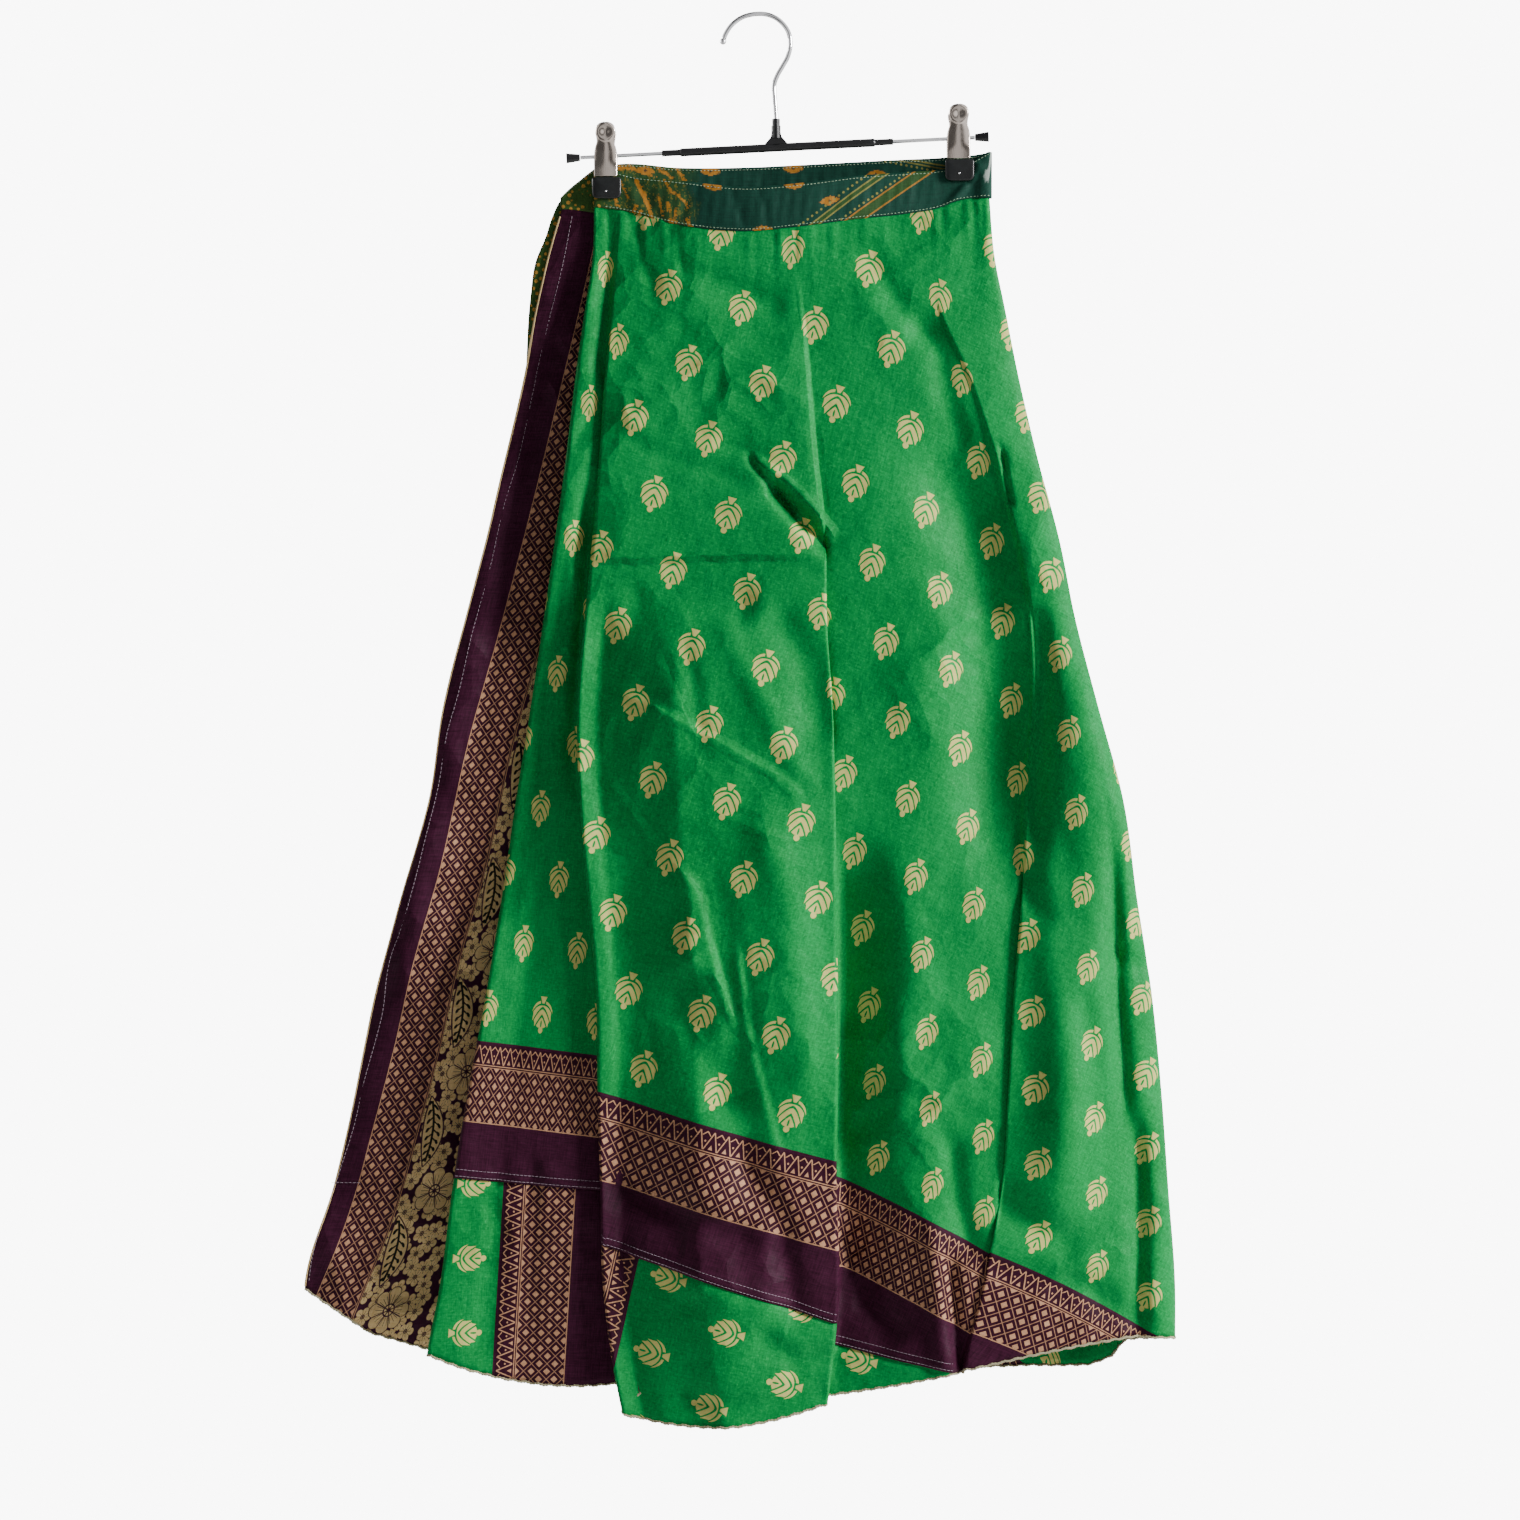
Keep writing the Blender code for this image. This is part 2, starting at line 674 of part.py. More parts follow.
def cutter(name, radius, low, high, x):
    """An upright round solid, from one depth to another."""
    bm = bmesh.new()
    middle = Matrix.Translation(Vector((x, 0.0, -0.5 * (low + high))) * MM)
    length = abs(high - low) * MM
    bmesh.ops.create_cone(bm, cap_ends=True, segments=20, radius1=radius * MM, radius2=radius * MM,
                          depth=length, matrix=middle)
    mesh = bpy.data.meshes.new(name)
    bm.to_mesh(mesh)
    bm.free()
    thing = bpy.data.objects.new(name, mesh)
    bpy.context.collection.objects.link(thing)
    thing.hide_render = True
    thing.display_type = "WIRE"
    return thing


def gusset():
    """The flat web that spreads from the neck down to the sleeve."""
    outline = ((-3.2, 84.0), (3.2, 84.0), (4.0, 87.5), (8.0, 92.0), (8.0, 93.0), (-8.0, 93.6), (-8.0, 92.6), (-4.0, 88.0))
    bm = bmesh.new()
    verts = [bm.verts.new(Vector((BAR_CENTRE_X + x - 1.0, -1.7, -d)) * MM) for x, d in outline]
    face = bm.faces.new(verts)
    grown = bmesh.ops.extrude_face_region(bm, geom=[face])
    moved = [v for v in grown["geom"] if isinstance(v, bmesh.types.BMVert)]
    bmesh.ops.translate(bm, verts=moved, vec=(0.0, 3.4 * MM, 0.0))
    bmesh.ops.recalc_face_normals(bm, faces=bm.faces)
    mesh = bpy.data.meshes.new("gusset")
    bm.to_mesh(mesh)
    bm.free()
    thing = bpy.data.objects.new("gusset", mesh)
    bpy.context.collection.objects.link(thing)
    thing.hide_render = True
    thing.display_type = "WIRE"
    return thing


def boolean(target, other, operation):
    modifier = target.modifiers.new(other.name, "BOOLEAN")
    modifier.object = other
    modifier.operation = operation
    modifier.solver = "EXACT"


def bar():
    """The telescopic bar: a wire through a stepped sleeve with the hook's neck, and a cap at each end."""
    wire = [bar_point(-BAR_HALF_LENGTH), bar_point(BAR_HALF_LENGTH)]
    tube("bar_wire", wire, [BAR_RADIUS, BAR_RADIUS], "chromed steel", resolution=4)
    bore = BAR_RADIUS + 0.35
    profile = ((bore, -84), (2.3, -84), (2.3, -71), (3.0, -70), (3.0, 70), (2.3, 71), (2.3, 84), (bore, 84))
    sleeve = turned("bar_sleeve", profile, "black plastic", along_bar(0.0))
    neck_x = HOOK_LINE[0][0]
    boolean(sleeve, gusset(), "UNION")
    boolean(sleeve, cutter("neck_collar", 3.4, 79.6, 88.5, neck_x), "UNION")
    boolean(sleeve, cutter("neck_cap", 2.9, NECK_TOP, 82.0, neck_x), "UNION")
    boolean(sleeve, cutter("neck_bore", HOOK_RADIUS + 0.3, NECK_TOP - 4.0, 87.6, neck_x), "DIFFERENCE")
    for side, sign in (("left", -1), ("right", 1)):
        inner = sign * (BAR_HALF_LENGTH + SEAM_GAP)
        outer = sign * (BAR_HALF_LENGTH + 10.2)
        ends = [bar_point(inner), bar_point(outer)]
        tube(f"end_cap_{side}", ends, [2.5, 3.75], "black plastic", resolution=5)


def clip(side):
    """A sprung clip on the bar: a coil, two stamped jaws and a rubber pad on each."""
    x0 = CLIP_X[side]
    depth0 = bar_depth(x0)
    pinch = CLIP_PINCH[side]
    for face, sign in (("front", -1), ("back", 1)):
        rows = []
        for drop, half_width, reach in JAW:
            closing = (pinch + 1.4 - reach) * smooth((drop - 2.0) / 13.0)
            row = []
            for part in (-1.0, -0.5, 0.0, 0.5, 1.0):
                crown = JAW_CROWN * (1.0 - 0.7 * smooth((drop - 2.0) / 8.0))
                y = sign * (reach + closing - crown * part**2)
                row.append((x0 + half_width * part, y, -(depth0 + drop)))
            rows.append(row)
        cloth(f"clip_{side}_{face}_jaw", np.array(rows, float), JAW_WALL, "chromed steel")
        pad(f"clip_{side}_{face}_pad", x0 + 0.8, sign * (pinch + 0.5 * PAD_SIZE[1]), depth0 + 15.7)
    coil = (
        (BAR_RADIUS + 0.35, -0.5 * SPRING_LENGTH),
        (SPRING_RADIUS, -0.5 * SPRING_LENGTH),
        (SPRING_RADIUS, 0.5 * SPRING_LENGTH),
        (BAR_RADIUS + 0.35, 0.5 * SPRING_LENGTH),
    )
    distance = (x0 - BAR_CENTRE_X) / math.cos(BAR_TILT)
    turned(f"clip_{side}_spring", coil, "chromed steel", along_bar(distance), sides=16)


def pad(name, x, y, top):
    """A rubber tip: a block with rounded edges."""
    bm = bmesh.new()
    bmesh.ops.create_cube(bm, size=1.0)
    size = Matrix.Diagonal((PAD_SIZE[0] * MM, PAD_SIZE[1] * MM, PAD_SIZE[2] * MM, 1.0))
    bmesh.ops.transform(bm, matrix=size, verts=bm.verts)
    mesh = bpy.data.meshes.new(name)
    bm.to_mesh(mesh)
    bm.free()
    thing = add_object(name, mesh, "black rubber")
    thing.location = Vector((x, y, -(top + 0.5 * PAD_SIZE[2]))) * MM
    bevel = thing.modifiers.new("rounding", "BEVEL")
    bevel.width = 0.8 * MM
    bevel.segments = 2
    return thing


hook()
bar()
for clip_side in CLIP_X:
    clip(clip_side)
waistband()
front_sheet()
back_sheet()
ties()
bpy.context.view_layer.update()
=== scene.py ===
# A wrap skirt of woven green silk, hung by its printed waistband from a clip hanger.
# Sizes are in millimetres; a depth is a distance down from the hook's inner top. Y runs to the back.
import json
import math
from functools import partial, reduce

import bpy
import numpy as np
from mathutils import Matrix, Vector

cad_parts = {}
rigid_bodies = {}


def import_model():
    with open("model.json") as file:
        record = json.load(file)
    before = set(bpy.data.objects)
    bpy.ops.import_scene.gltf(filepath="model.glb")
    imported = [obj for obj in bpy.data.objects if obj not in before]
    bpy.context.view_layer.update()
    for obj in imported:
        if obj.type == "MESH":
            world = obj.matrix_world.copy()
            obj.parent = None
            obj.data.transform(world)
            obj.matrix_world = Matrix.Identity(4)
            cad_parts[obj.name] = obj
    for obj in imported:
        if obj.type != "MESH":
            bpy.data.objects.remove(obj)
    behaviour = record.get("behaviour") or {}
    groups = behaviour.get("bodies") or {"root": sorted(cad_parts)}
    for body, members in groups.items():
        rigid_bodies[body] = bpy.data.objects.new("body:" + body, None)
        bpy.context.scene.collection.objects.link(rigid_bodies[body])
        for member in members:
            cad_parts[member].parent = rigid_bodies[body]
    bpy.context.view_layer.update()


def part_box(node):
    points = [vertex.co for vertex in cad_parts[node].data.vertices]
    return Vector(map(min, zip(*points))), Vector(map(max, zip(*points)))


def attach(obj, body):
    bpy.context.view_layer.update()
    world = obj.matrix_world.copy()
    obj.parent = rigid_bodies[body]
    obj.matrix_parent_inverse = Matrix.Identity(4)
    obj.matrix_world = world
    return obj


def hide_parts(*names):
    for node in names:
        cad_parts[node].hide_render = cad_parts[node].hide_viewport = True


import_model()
mm = 0.001

# the camera looks along Y from a distance in metres, and its frame has the given width at the middle plane
view = {"distance": 3.3, "width": 1.1035, "middle": -0.5399, "sensor": 36.0}
camera = bpy.data.objects.new("camera", bpy.data.cameras.new("camera"))
bpy.context.collection.objects.link(camera)
camera.data.lens = view["sensor"] * view["distance"] / view["width"]
camera.location = (0.0, -view["distance"], view["middle"])
camera.rotation_euler = (math.pi / 2.0, 0.0, 0.0)
bpy.context.scene.camera = camera
print("camera placed")

# Shapes that several pieces share. How far right each line lies at a depth: the wrap edge, the front's left fold,
# the pleats b, c and e, the crease f and the right side
lines = {
    "depth": (130, 175, 210, 260, 320, 380, 440, 500, 570, 640, 710, 780, 850, 920, 975, 1020),
    "wrap": (-141, -154, -162, -171, -185, -199, -215, -230, -241, -261, -280, -294, -310, -331, -331, -330),
    "left": (-120, -121, -126, -133, -140, -148, -157, -166, -177, -187, -198, -211, -222, -231, -241, -244),
    "b": (-103, -105, -108, -112, -116, -121, -127, -132, -130, -124, -118, -117, -115, -113, -106, -97),
    "c": (22, 26, 30, 35, 40, 47, 48, 52, 54, 55, 56, 56, 55, 57, 52, 46),
    "e": (120, 123, 129, 150, 170, 186, 197, 198, 192, 189, 183, 179, 174, 160, 147, 145),
    "f": (157, 160, 164, 171, 179, 200, 218, 233, 250, 256, 260, 264, 270, 273, 274, 274),
    "right": (166, 170, 177, 187, 201, 217, 229, 244, 263, 273, 284, 291, 296, 301, 301, 301),
}
# the waistband at a distance x to the right: how far its two stretches lie back, and the depths of their edges
bandShape = {
    "x": (-119, -100, -60, -10, 30, 70, 105, 131, 144, 155, 164),
    "frontY": (-2.6, -2.7, -7.5, -12, -12, -8.5, -3.6, -1.4, -1.4, -1.4, -2.8),
    "backY": (2.4, 2.6, 5.5, 8, 8, 6, 3, 1.4, 1.4, 1.4, 2.8),
    "frontTop": (108, 114.5, 120, 125.4, 122.5, 117, 113.8, 111.6, 109, 105, 99.5),
    "frontBottom": (139, 141.4, 152, 157.3, 153.7, 148.2, 143.9, 139, 133.8, 132.3, 132),
    "backTop": (109.4, 106.8, 109.2, 108.7, 106.9, 105, 103.6, 102.6, 101.4, 100.7, 98.9),
}
skirt = {
    "top": 140.0, "long": 840.0, "wall": 0.9, "bandTall": 33.0, "bandGap": -1.2,
    "pleatRadius": 1.75, "pleatOpen": 1.4, "sideSeam": -0.6, "wrapUnder": 48.0,
    "selvedge": {"B": (842, 848, 852), "C": (891, 918, 945), "D": (957, 970, 981)},
    "hem": {"B": (970, 991, 986), "C": (1012, 1019, 1004), "D": (1000, 992, 981), "E": (978, 966, 957),
            "F": (957, 958, 959)},
    "backHemX": (-331, -284, -243, -190, -150, -120, 0, 100, 160, 240, 256, 266, 301),
    "backHem": (925, 957, 970, 978, 992, 985, 978, 979, 983, 981, 975, 962, 959),
}
hang = {  # each layer: its left line, its way, how deep it hangs at the band and at the hem, and its upright waves
    "front": {"edge": "left", "way": -1.0, "top": 6.0, "hem": 33.0, "flat": 0.78, "round": 0.4,
              "wave": 2.2, "waves": 19.0, "shift": 0.0, "drift": 240.0},
    "back": {"edge": "wrap", "way": 1.0, "top": 5.0, "hem": 27.0, "flat": 0.4, "round": 0.3,
             "wave": 3.4, "waves": 23.0, "shift": 0.8, "drift": 300.0},
}
pleats = {  # depths, how far the step between a pleat's layers has opened there, and how far they overlap
    "b": ((139, 152, 200, 250, 280, 500, 985), (0, 0.3, 0.55, 1, 1, 1, 1), (0, 0, 0, 1, 5, 14, 24)),
    "c": ((178, 240, 330, 385, 400, 600, 1010), (0, 0.35, 0.5, 1, 1, 1, 1), (0, 0, 0, 1, 6, 15, 22)),
    "e": ((200, 330, 560, 610, 700, 800, 870, 920, 980), (0, 0.5, 0.8, 0.8, 0.6, 0.5, 0.5, 0.5, 0.4),
          (0, 0, 0, 0, 9, 14, 5, 1, 0)),
}


def read(table, name, at, key="depth"):
    # a cubic curve through the table's points, whose slope at each is the slope between the point's neighbours
    known = np.array(table[key], float)
    values = np.array(table[name], float)
    slopes = np.gradient(values, known)
    at = np.clip(at, known[0], known[-1])
    k = np.clip(np.searchsorted(known, at) - 1, 0, len(known) - 2)
    width = known[k + 1] - known[k]
    t = (at - known[k]) / width
    start = values[k] * (1 + 2 * t) * (1 - t) ** 2 + slopes[k] * width * t * (1 - t) ** 2
    return start + values[k + 1] * t * t * (3 - 2 * t) - slopes[k + 1] * width * t * t * (1 - t)


def line(name, depth):
    # how far right a line lies at a depth: the cubic through its row
    return read(lines, name, depth)


def band(name, x):
    # a measure of the waistband at x: the cubic through its row
    return read(bandShape, name, x, "x")


def smooth(t):
    # 3 t^2 - 2 t^3 between 0 and 1
    t = np.clip(t, 0.0, 1.0)
    return t * t * (3.0 - 2.0 * t)


def backBottom(x):
    # the band's upper edge plus its height, less up to 2.4 mm where its left end droops
    return band("backTop", x) + skirt["bandTall"] - 2.4 * np.clip((-119.0 - x) / 19.0, 0.0, 1.0)


def fullness(depth):
    # the share of the way down the skirt, to the power 0.6
    return np.clip((depth - skirt["top"]) / skirt["long"], 0.0, 1.0) ** 0.6


def turnShare(x, depth):
    # a quarter circle, sqrt(1 - share^2), over the last 5 mm before the right side
    share = np.clip((x - (line("right", depth) - 5.0)) / 5.0, 0.0, 1.0)
    return np.sqrt(1.0 - share**2)


def layerY(side, x, depth):
    # how far back a layer hangs: flat across and rounded at the right, sqrt(1 - share^6), times a depth that grows
    # towards the hem, plus sine waves; within 110 mm of its top it goes over into the waistband's own curve
    h = hang[side]
    left = line(h["edge"], depth)
    share = np.clip((x - left) / (line("right", depth) - left), 0.0, 1.0)
    rounded = 1.0 - share**6
    swell = np.sqrt(rounded) * (h["flat"] + (1.0 - h["flat"]) * smooth(share / h["round"]))
    hung = h["way"] * (h["top"] + (h["hem"] - h["top"]) * fullness(depth)) * swell
    waves = np.sin(share * h["waves"] + h["shift"] + depth / h["drift"])
    hung = hung + h["wave"] * fullness(depth) * waves * rounded
    settled = smooth((depth - skirt["top"]) / 110.0)
    return (1.0 - settled) * band(side + "Y", x) * turnShare(x, depth) + settled * hung


frontY, backY = partial(layerY, "front"), partial(layerY, "back")


def meshPiece(name, points, faces, material):
    # points in millimetres and their faces as a smooth mesh, with its object at the origin
    mesh = bpy.data.meshes.new(name)
    mesh.from_pydata((points * mm).tolist(), [], faces)
    mesh.shade_smooth()
    mesh.materials.append(material)
    piece = bpy.data.objects.new(name, mesh)
    bpy.context.collection.objects.link(piece)
    return piece


def sheetMesh(name, x, y, depth, uv, material, wall, closed=False):
    # a sheet through a grid of points (across, down), with its cloth coordinates in mm as the UV map
    across, down = x.shape
    number = np.arange(across * down).reshape(across, down)
    if closed:
        number = np.vstack((number, number[:1]))
    faces = np.stack((number[:-1, :-1], number[:-1, 1:], number[1:, 1:], number[1:, :-1]), axis=2).reshape(-1, 4)
    piece = meshPiece(name, np.stack((x, y, -depth), axis=2).reshape(-1, 3), faces.tolist(), material)
    cloth = np.stack(uv, axis=2).reshape(-1, 2)
    piece.data.uv_layers.new(name="cloth").data.foreach_set("uv", cloth[faces.ravel()].ravel())
    if wall:
        solidify = piece.modifiers.new("wall", "SOLIDIFY")
        solidify.thickness = wall * mm
        solidify.offset = 0.0
        solidify.use_even_offset = False
    return piece


def dress(piece, node=None):
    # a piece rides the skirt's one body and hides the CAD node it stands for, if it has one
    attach(piece, "root")
    if node:
        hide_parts(node)
    return piece


def addCreases(x, depth, creases):
    # how far the cloth stands out: each crease is its size times exp(-(distance / width)^2) along its line. A sharp
    # one is size times exp(-|side| / width), a ridge to the right of its way, seen from the front, and a trough to
    # the left. Each runs on past its ends and fades there
    height = np.zeros_like(x)
    past = 0.6
    for kind, width, size, points in creases:
        best = np.full_like(x, 1e9)
        side = np.zeros_like(x)
        along = np.zeros_like(x)
        count = len(points) - 1
        for k, ((ax, ad), (bx, bd)) in enumerate(zip(points[:-1], points[1:])):
            dx, dd = bx - ax, bd - ad
            length = math.hypot(dx, dd)
            t = ((x - ax) * dx + (depth - ad) * dd) / length**2
            t = np.clip(t, -past if k == 0 else 0.0, 1.0 + past if k == count - 1 else 1.0)
            px, pd = x - ax - t * dx, depth - ad - t * dd
            distance = np.hypot(px, pd)
            closer = distance < best
            best = np.where(closer, distance, best)
            side = np.where(closer, (px * dd - pd * dx) / length, side)
            along = np.where(closer, (k + t) / count, along)
        fade = smooth((along + past / count) / 0.3) * smooth((1.0 + past / count - along) / 0.3)
        if kind == "crease":
            height += size * fade * np.exp(-np.abs(side) / width) * np.tanh(-side / 1.2) * (best < 6 * width)
        else:
            sign = 1.0 if kind == "ridge" else -1.0
            height += sign * size * fade * np.exp(-((best / width) ** 2))
    return height


def linear(text):
    # an sRGB hex value as linear light: c / 12.92 where dark, ((c + 0.055) / 1.055)^2.4 elsewhere
    parts = [int(text[k:k + 2], 16) / 255.0 for k in (1, 3, 5)]
    return tuple(c / 12.92 if c <= 0.04045 else ((c + 0.055) / 1.055) ** 2.4 for c in parts) + (1.0,)


def put(tree, kind, *links, **settings):
    # adds a node: a kind in capitals is a Math node's operation, and "VectorMath:ADD" names another node's;
    # links are its inputs in order, or one dictionary by name
    kind, _, operation = ("Math:" + kind if kind.isupper() else kind).partition(":")
    node = tree.nodes.new("ShaderNode" + kind)
    if operation:
        node.operation = operation
    for name, value in settings.items():
        setattr(node, name, value)
    named = links[0].items() if links and isinstance(links[0], dict) else enumerate(links)
    for key, value in named:
        if isinstance(value, bpy.types.Node):
            value = value.outputs[0]
        if isinstance(value, bpy.types.NodeSocket):
            tree.links.new(value, node.inputs[key])
        elif value is not None:
            node.inputs[key].default_value = value
    return node


def newMaterial(name):
    # an empty material, and put for its own nodes
    material = bpy.data.materials.new(name)
    material.use_nodes = True
    material.node_tree.nodes.clear()
    return material, partial(put, material.node_tree)


def shade(add, colour, normal, **values):
    # the shader with its colour, its bumps and its other sockets, and the output
    links = {"Base Color": colour}
    if normal:
        links["Normal"] = normal
    links.update({name.replace("_", " "): value for name, value in values.items()})
    add("OutputMaterial", add("BsdfPrincipled", links))


def clothPlace(add):
    # the cloth coordinates in mm: s along the weft, v across the sari's width
    return add("SeparateXYZ", add("UVMap", uv_map="cloth")).outputs[:2]


def squares(add, x, y):
    # x^2 + y^2
    return add("ADD", add("POWER", x, 2.0), add("POWER", y, 2.0))


def lineAt(add, value, place, outer, inner, full=1.0):
    # a drawn line where the value meets a place: full where |value - place| is under inner, nothing beyond outer
    return add("MapRange", add("ABSOLUTE", add("SUBTRACT", value, place)), outer, inner, 0.0, full)


leaf = {  # the sprig: its half-drop repeat, its half width, its heights over and under its middle, its stem and bud
    "across": 56.0, "down": 49.0, "shift": 24.0, "half": 10.3, "over": 9.4, "under": 12.4, "stemTop": 13.3, "bud": 11.3,
    # each vein's top, droop, power and half width
    "veins": ((7.3, 0.0214, 2.45, 0.85), (4.7, 0.307, 1.6, 1.1), (-0.9, 0.877, 1.24, 1.3)),
}


def sprigMask(add, s, v):
    # a hanging leaf in every cell of a half-drop repeat; q runs across it and p up it. It is an egg,
    # |q / half|^2.2 + |p / height|^2 = 1, cut by veins p = top - droop |q|^power, with a stem and a bud with a slit
    halfAcross, halfDown = leaf["across"] / 2.0, leaf["down"] / 2.0
    down = add("ADD", v, leaf["shift"])
    row = add("ROUND", add("DIVIDE", down, leaf["down"]))
    q = add("WRAP", add("MULTIPLY_ADD", add("ADD", row, 1.0), halfAcross, s), halfAcross, -halfAcross)
    p = add("MULTIPLY", add("WRAP", down, halfDown, -halfDown), -1.0)
    a = add("ABSOLUTE", q)
    gaps, lobes = [], []
    for top, droop, power, half in leaf["veins"]:
        over = add("ADD", p, add("MULTIPLY_ADD", add("POWER", a, power), droop, -top))
        gaps.append(add("DIVIDE", add("ABSOLUTE", over), half))
        lobes.append(add("MULTIPLY_ADD", add("LESS_THAN", over, 0.0), 30.0, over))
    clear = add("MapRange", reduce(partial(add, "MINIMUM"), gaps), 0.7, 1.1, 0.0, 1.0)
    high = add("POWER", add("MAXIMUM", add("DIVIDE", add("SUBTRACT", p, 1.0), leaf["over"]), 0.0), 2.3)
    low = add("POWER", add("MAXIMUM", add("DIVIDE", add("SUBTRACT", 1.0, p), leaf["under"]), 0.0), 2.0)
    egg = add("ADD", add("POWER", add("DIVIDE", a, leaf["half"]), 2.2), add("MAXIMUM", high, low))
    above = add("MINIMUM", reduce(partial(add, "MINIMUM"), lobes), 5.0)
    egg = add("MULTIPLY_ADD", above, 0.065, add("SUBTRACT", egg, 0.08))  # each lobe narrows towards the vein under it
    body = add("MapRange", egg, 1.04, 0.96, 0.0, 1.0)
    slit = squares(add, add("DIVIDE", a, 0.75), add("DIVIDE", add("ADD", p, 6.8), 2.6))
    body = add("MULTIPLY", body, add("MapRange", slit, 0.7, 1.3, 0.0, 1.0))
    notch = add("MAXIMUM", add("MapRange", a, 2.5, 3.1, 0.0, 1.0), add("MapRange", p, 7.9, 7.4, 0.0, 1.0))
    body = add("MULTIPLY", add("MULTIPLY", body, notch), clear)
    bud = squares(add, a, add("ADD", p, leaf["bud"]))
    body = add("MAXIMUM", body, add("MapRange", bud, 5.4, 4.4, 0.0, 1.0))
    side = add("ADD", a, add("MULTIPLY_ADD", p, -0.46, 2.7))
    stem = add("MULTIPLY", add("MapRange", side, 0.25, -0.25, 0.0, 1.0), add("MapRange", p, 7.8, 8.3, 0.0, 1.0))
    stem = add("MULTIPLY", stem, add("MapRange", p, leaf["stemTop"], leaf["stemTop"] - 0.5, 0.0, 1.0))
    return add("MULTIPLY", add("MAXIMUM", body, stem), add("LESS_THAN", v, -2.0))


border = {"zigzag": 10.4, "latticeAcross": 11.6, "latticeDown": 12.6, "latticeTop": 18.7, "latticeEnd": 58.0,
          "ruled": ((17.0, 0.3), (18.5, 0.2), (58.4, 0.35))}


def borderMask(add, s, v, zigzag=True):
    # the light threads of the woven border, v down from its upper edge: a zigzag with caps and dots, each a distance
    # to a straight line or a point, ruled lines, and a lattice of filled diamonds, from the fractions of
    # across + down and across - down
    parts = []

    def shown(mask, low, high):
        # the mask between two heights
        where = add("MULTIPLY", add("GREATER_THAN", v, low), add("LESS_THAN", v, high))
        parts.append(add("MULTIPLY", mask, where))

    if zigzag:
        half = border["zigzag"] / 2.0
        a = add("ABSOLUTE", add("WRAP", s, half, -half))
        b = add("SUBTRACT", half, a)
        shown(lineAt(add, a, add("MULTIPLY_ADD", v, 0.385, -1.1), 0.6, 0.34), 2.9, 15.9)
        block = add("SUBTRACT", a, add("MULTIPLY_ADD", v, 0.5, -5.9))
        shown(add("MapRange", block, 0.2, -0.2, 0.0, 1.0), 11.6, 15.2)
        shown(lineAt(add, b, add("MULTIPLY_ADD", v, 1.05, -3.4), 0.7, 0.4), 3.0, 6.1)
        shown(add("MapRange", squares(add, b, add("SUBTRACT", v, 9.8)), 0.7, 0.3, 0.0, 1.0), 8.5, 11.0)
    for place, half in border["ruled"]:
        shown(lineAt(add, v, place, half + 0.15, half - 0.1), 0.0, 60.0)
    across, down = add("DIVIDE", s, border["latticeAcross"]), add("DIVIDE", v, border["latticeDown"])
    cell = add("MAXIMUM", *(add("ABSOLUTE", add("SUBTRACT", add("FRACT", add(way, across, down)), 0.5))
                            for way in ("ADD", "SUBTRACT")))
    rails = add("MapRange", cell, 0.452, 0.475, 0.0, 0.7)
    fill = add("MapRange", cell, 0.245, 0.215, 0.0, 1.0)
    shown(add("MAXIMUM", rails, fill), border["latticeTop"], border["latticeEnd"])
    return reduce(partial(add, "MAXIMUM"), parts)


def weave(add, s, v, pitch, slub):
    # warp and weft as crossed waves, whose period is 0.314 / scale, and slubs as long streaks of noise. The real
    # threads lie 0.25 mm apart, too fine to show, and are drawn as coarse as the pitch given
    place = add("CombineXYZ", s, v, 0.0)
    waves, streaks = [], []
    for way, bend, fine, stretch in (("X", 1.2, 0.6, (0.06, 1.1, 1.0)), ("Y", 1.4, 0.5, (0.9, 0.05, 1.0))):
        waves.append(add("TexWave", {
            "Vector": place, "Scale": 1.0 / pitch * 0.314, "Distortion": bend, "Detail": 1.0, "Detail Scale": fine,
        }, wave_type="BANDS", bands_direction=way).outputs[1])
        stretched = add("VectorMath:MULTIPLY", place, stretch)
        streaks.append(add("TexNoise", {"Vector": stretched, "Scale": 1.0, "Detail": 3.0, "Roughness": 0.7}))
    crossed = add("MULTIPLY", add("ADD", *waves), 0.5)
    grain = add("MULTIPLY", add("ADD", *streaks), 0.5)
    return crossed, add("MapRange", grain, 0.5 - slub, 0.5 + slub, 0.0, 1.0)


def crumpled(add):
    # fine wrinkles: cones round scattered points meet in sharp valleys; noise bends them and lets them fade in places
    place = add("TexCoord").outputs[3]
    bend = add("TexNoise", {"Vector": place, "Scale": 16.0, "Detail": 2.0}).outputs[1]
    bend = add("VectorMath:SCALE", {"Vector": add("VectorMath:SUBTRACT", bend, (0.5, 0.5, 0.5)), "Scale": 0.05})
    cones = add("TexVoronoi", {"Vector": add("VectorMath:ADD", place, bend), "Scale": 19.0, "Detail": 1.0,
                               "Roughness": 0.45}, feature="F1")
    where = add("TexNoise", {"Vector": place, "Scale": 6.0, "Detail": 1.0})
    where = add("MapRange", where, 0.42, 0.66, 0.15, 1.0)
    soft = add("TexNoise", {"Vector": place, "Scale": 40.0, "Detail": 3.0, "Roughness": 0.5})
    height = add("MULTIPLY_ADD", soft, 0.25, add("MULTIPLY", cones, where))
    return add("Bump", {"Strength": 1.0, "Distance": 0.0075, "Height": height})
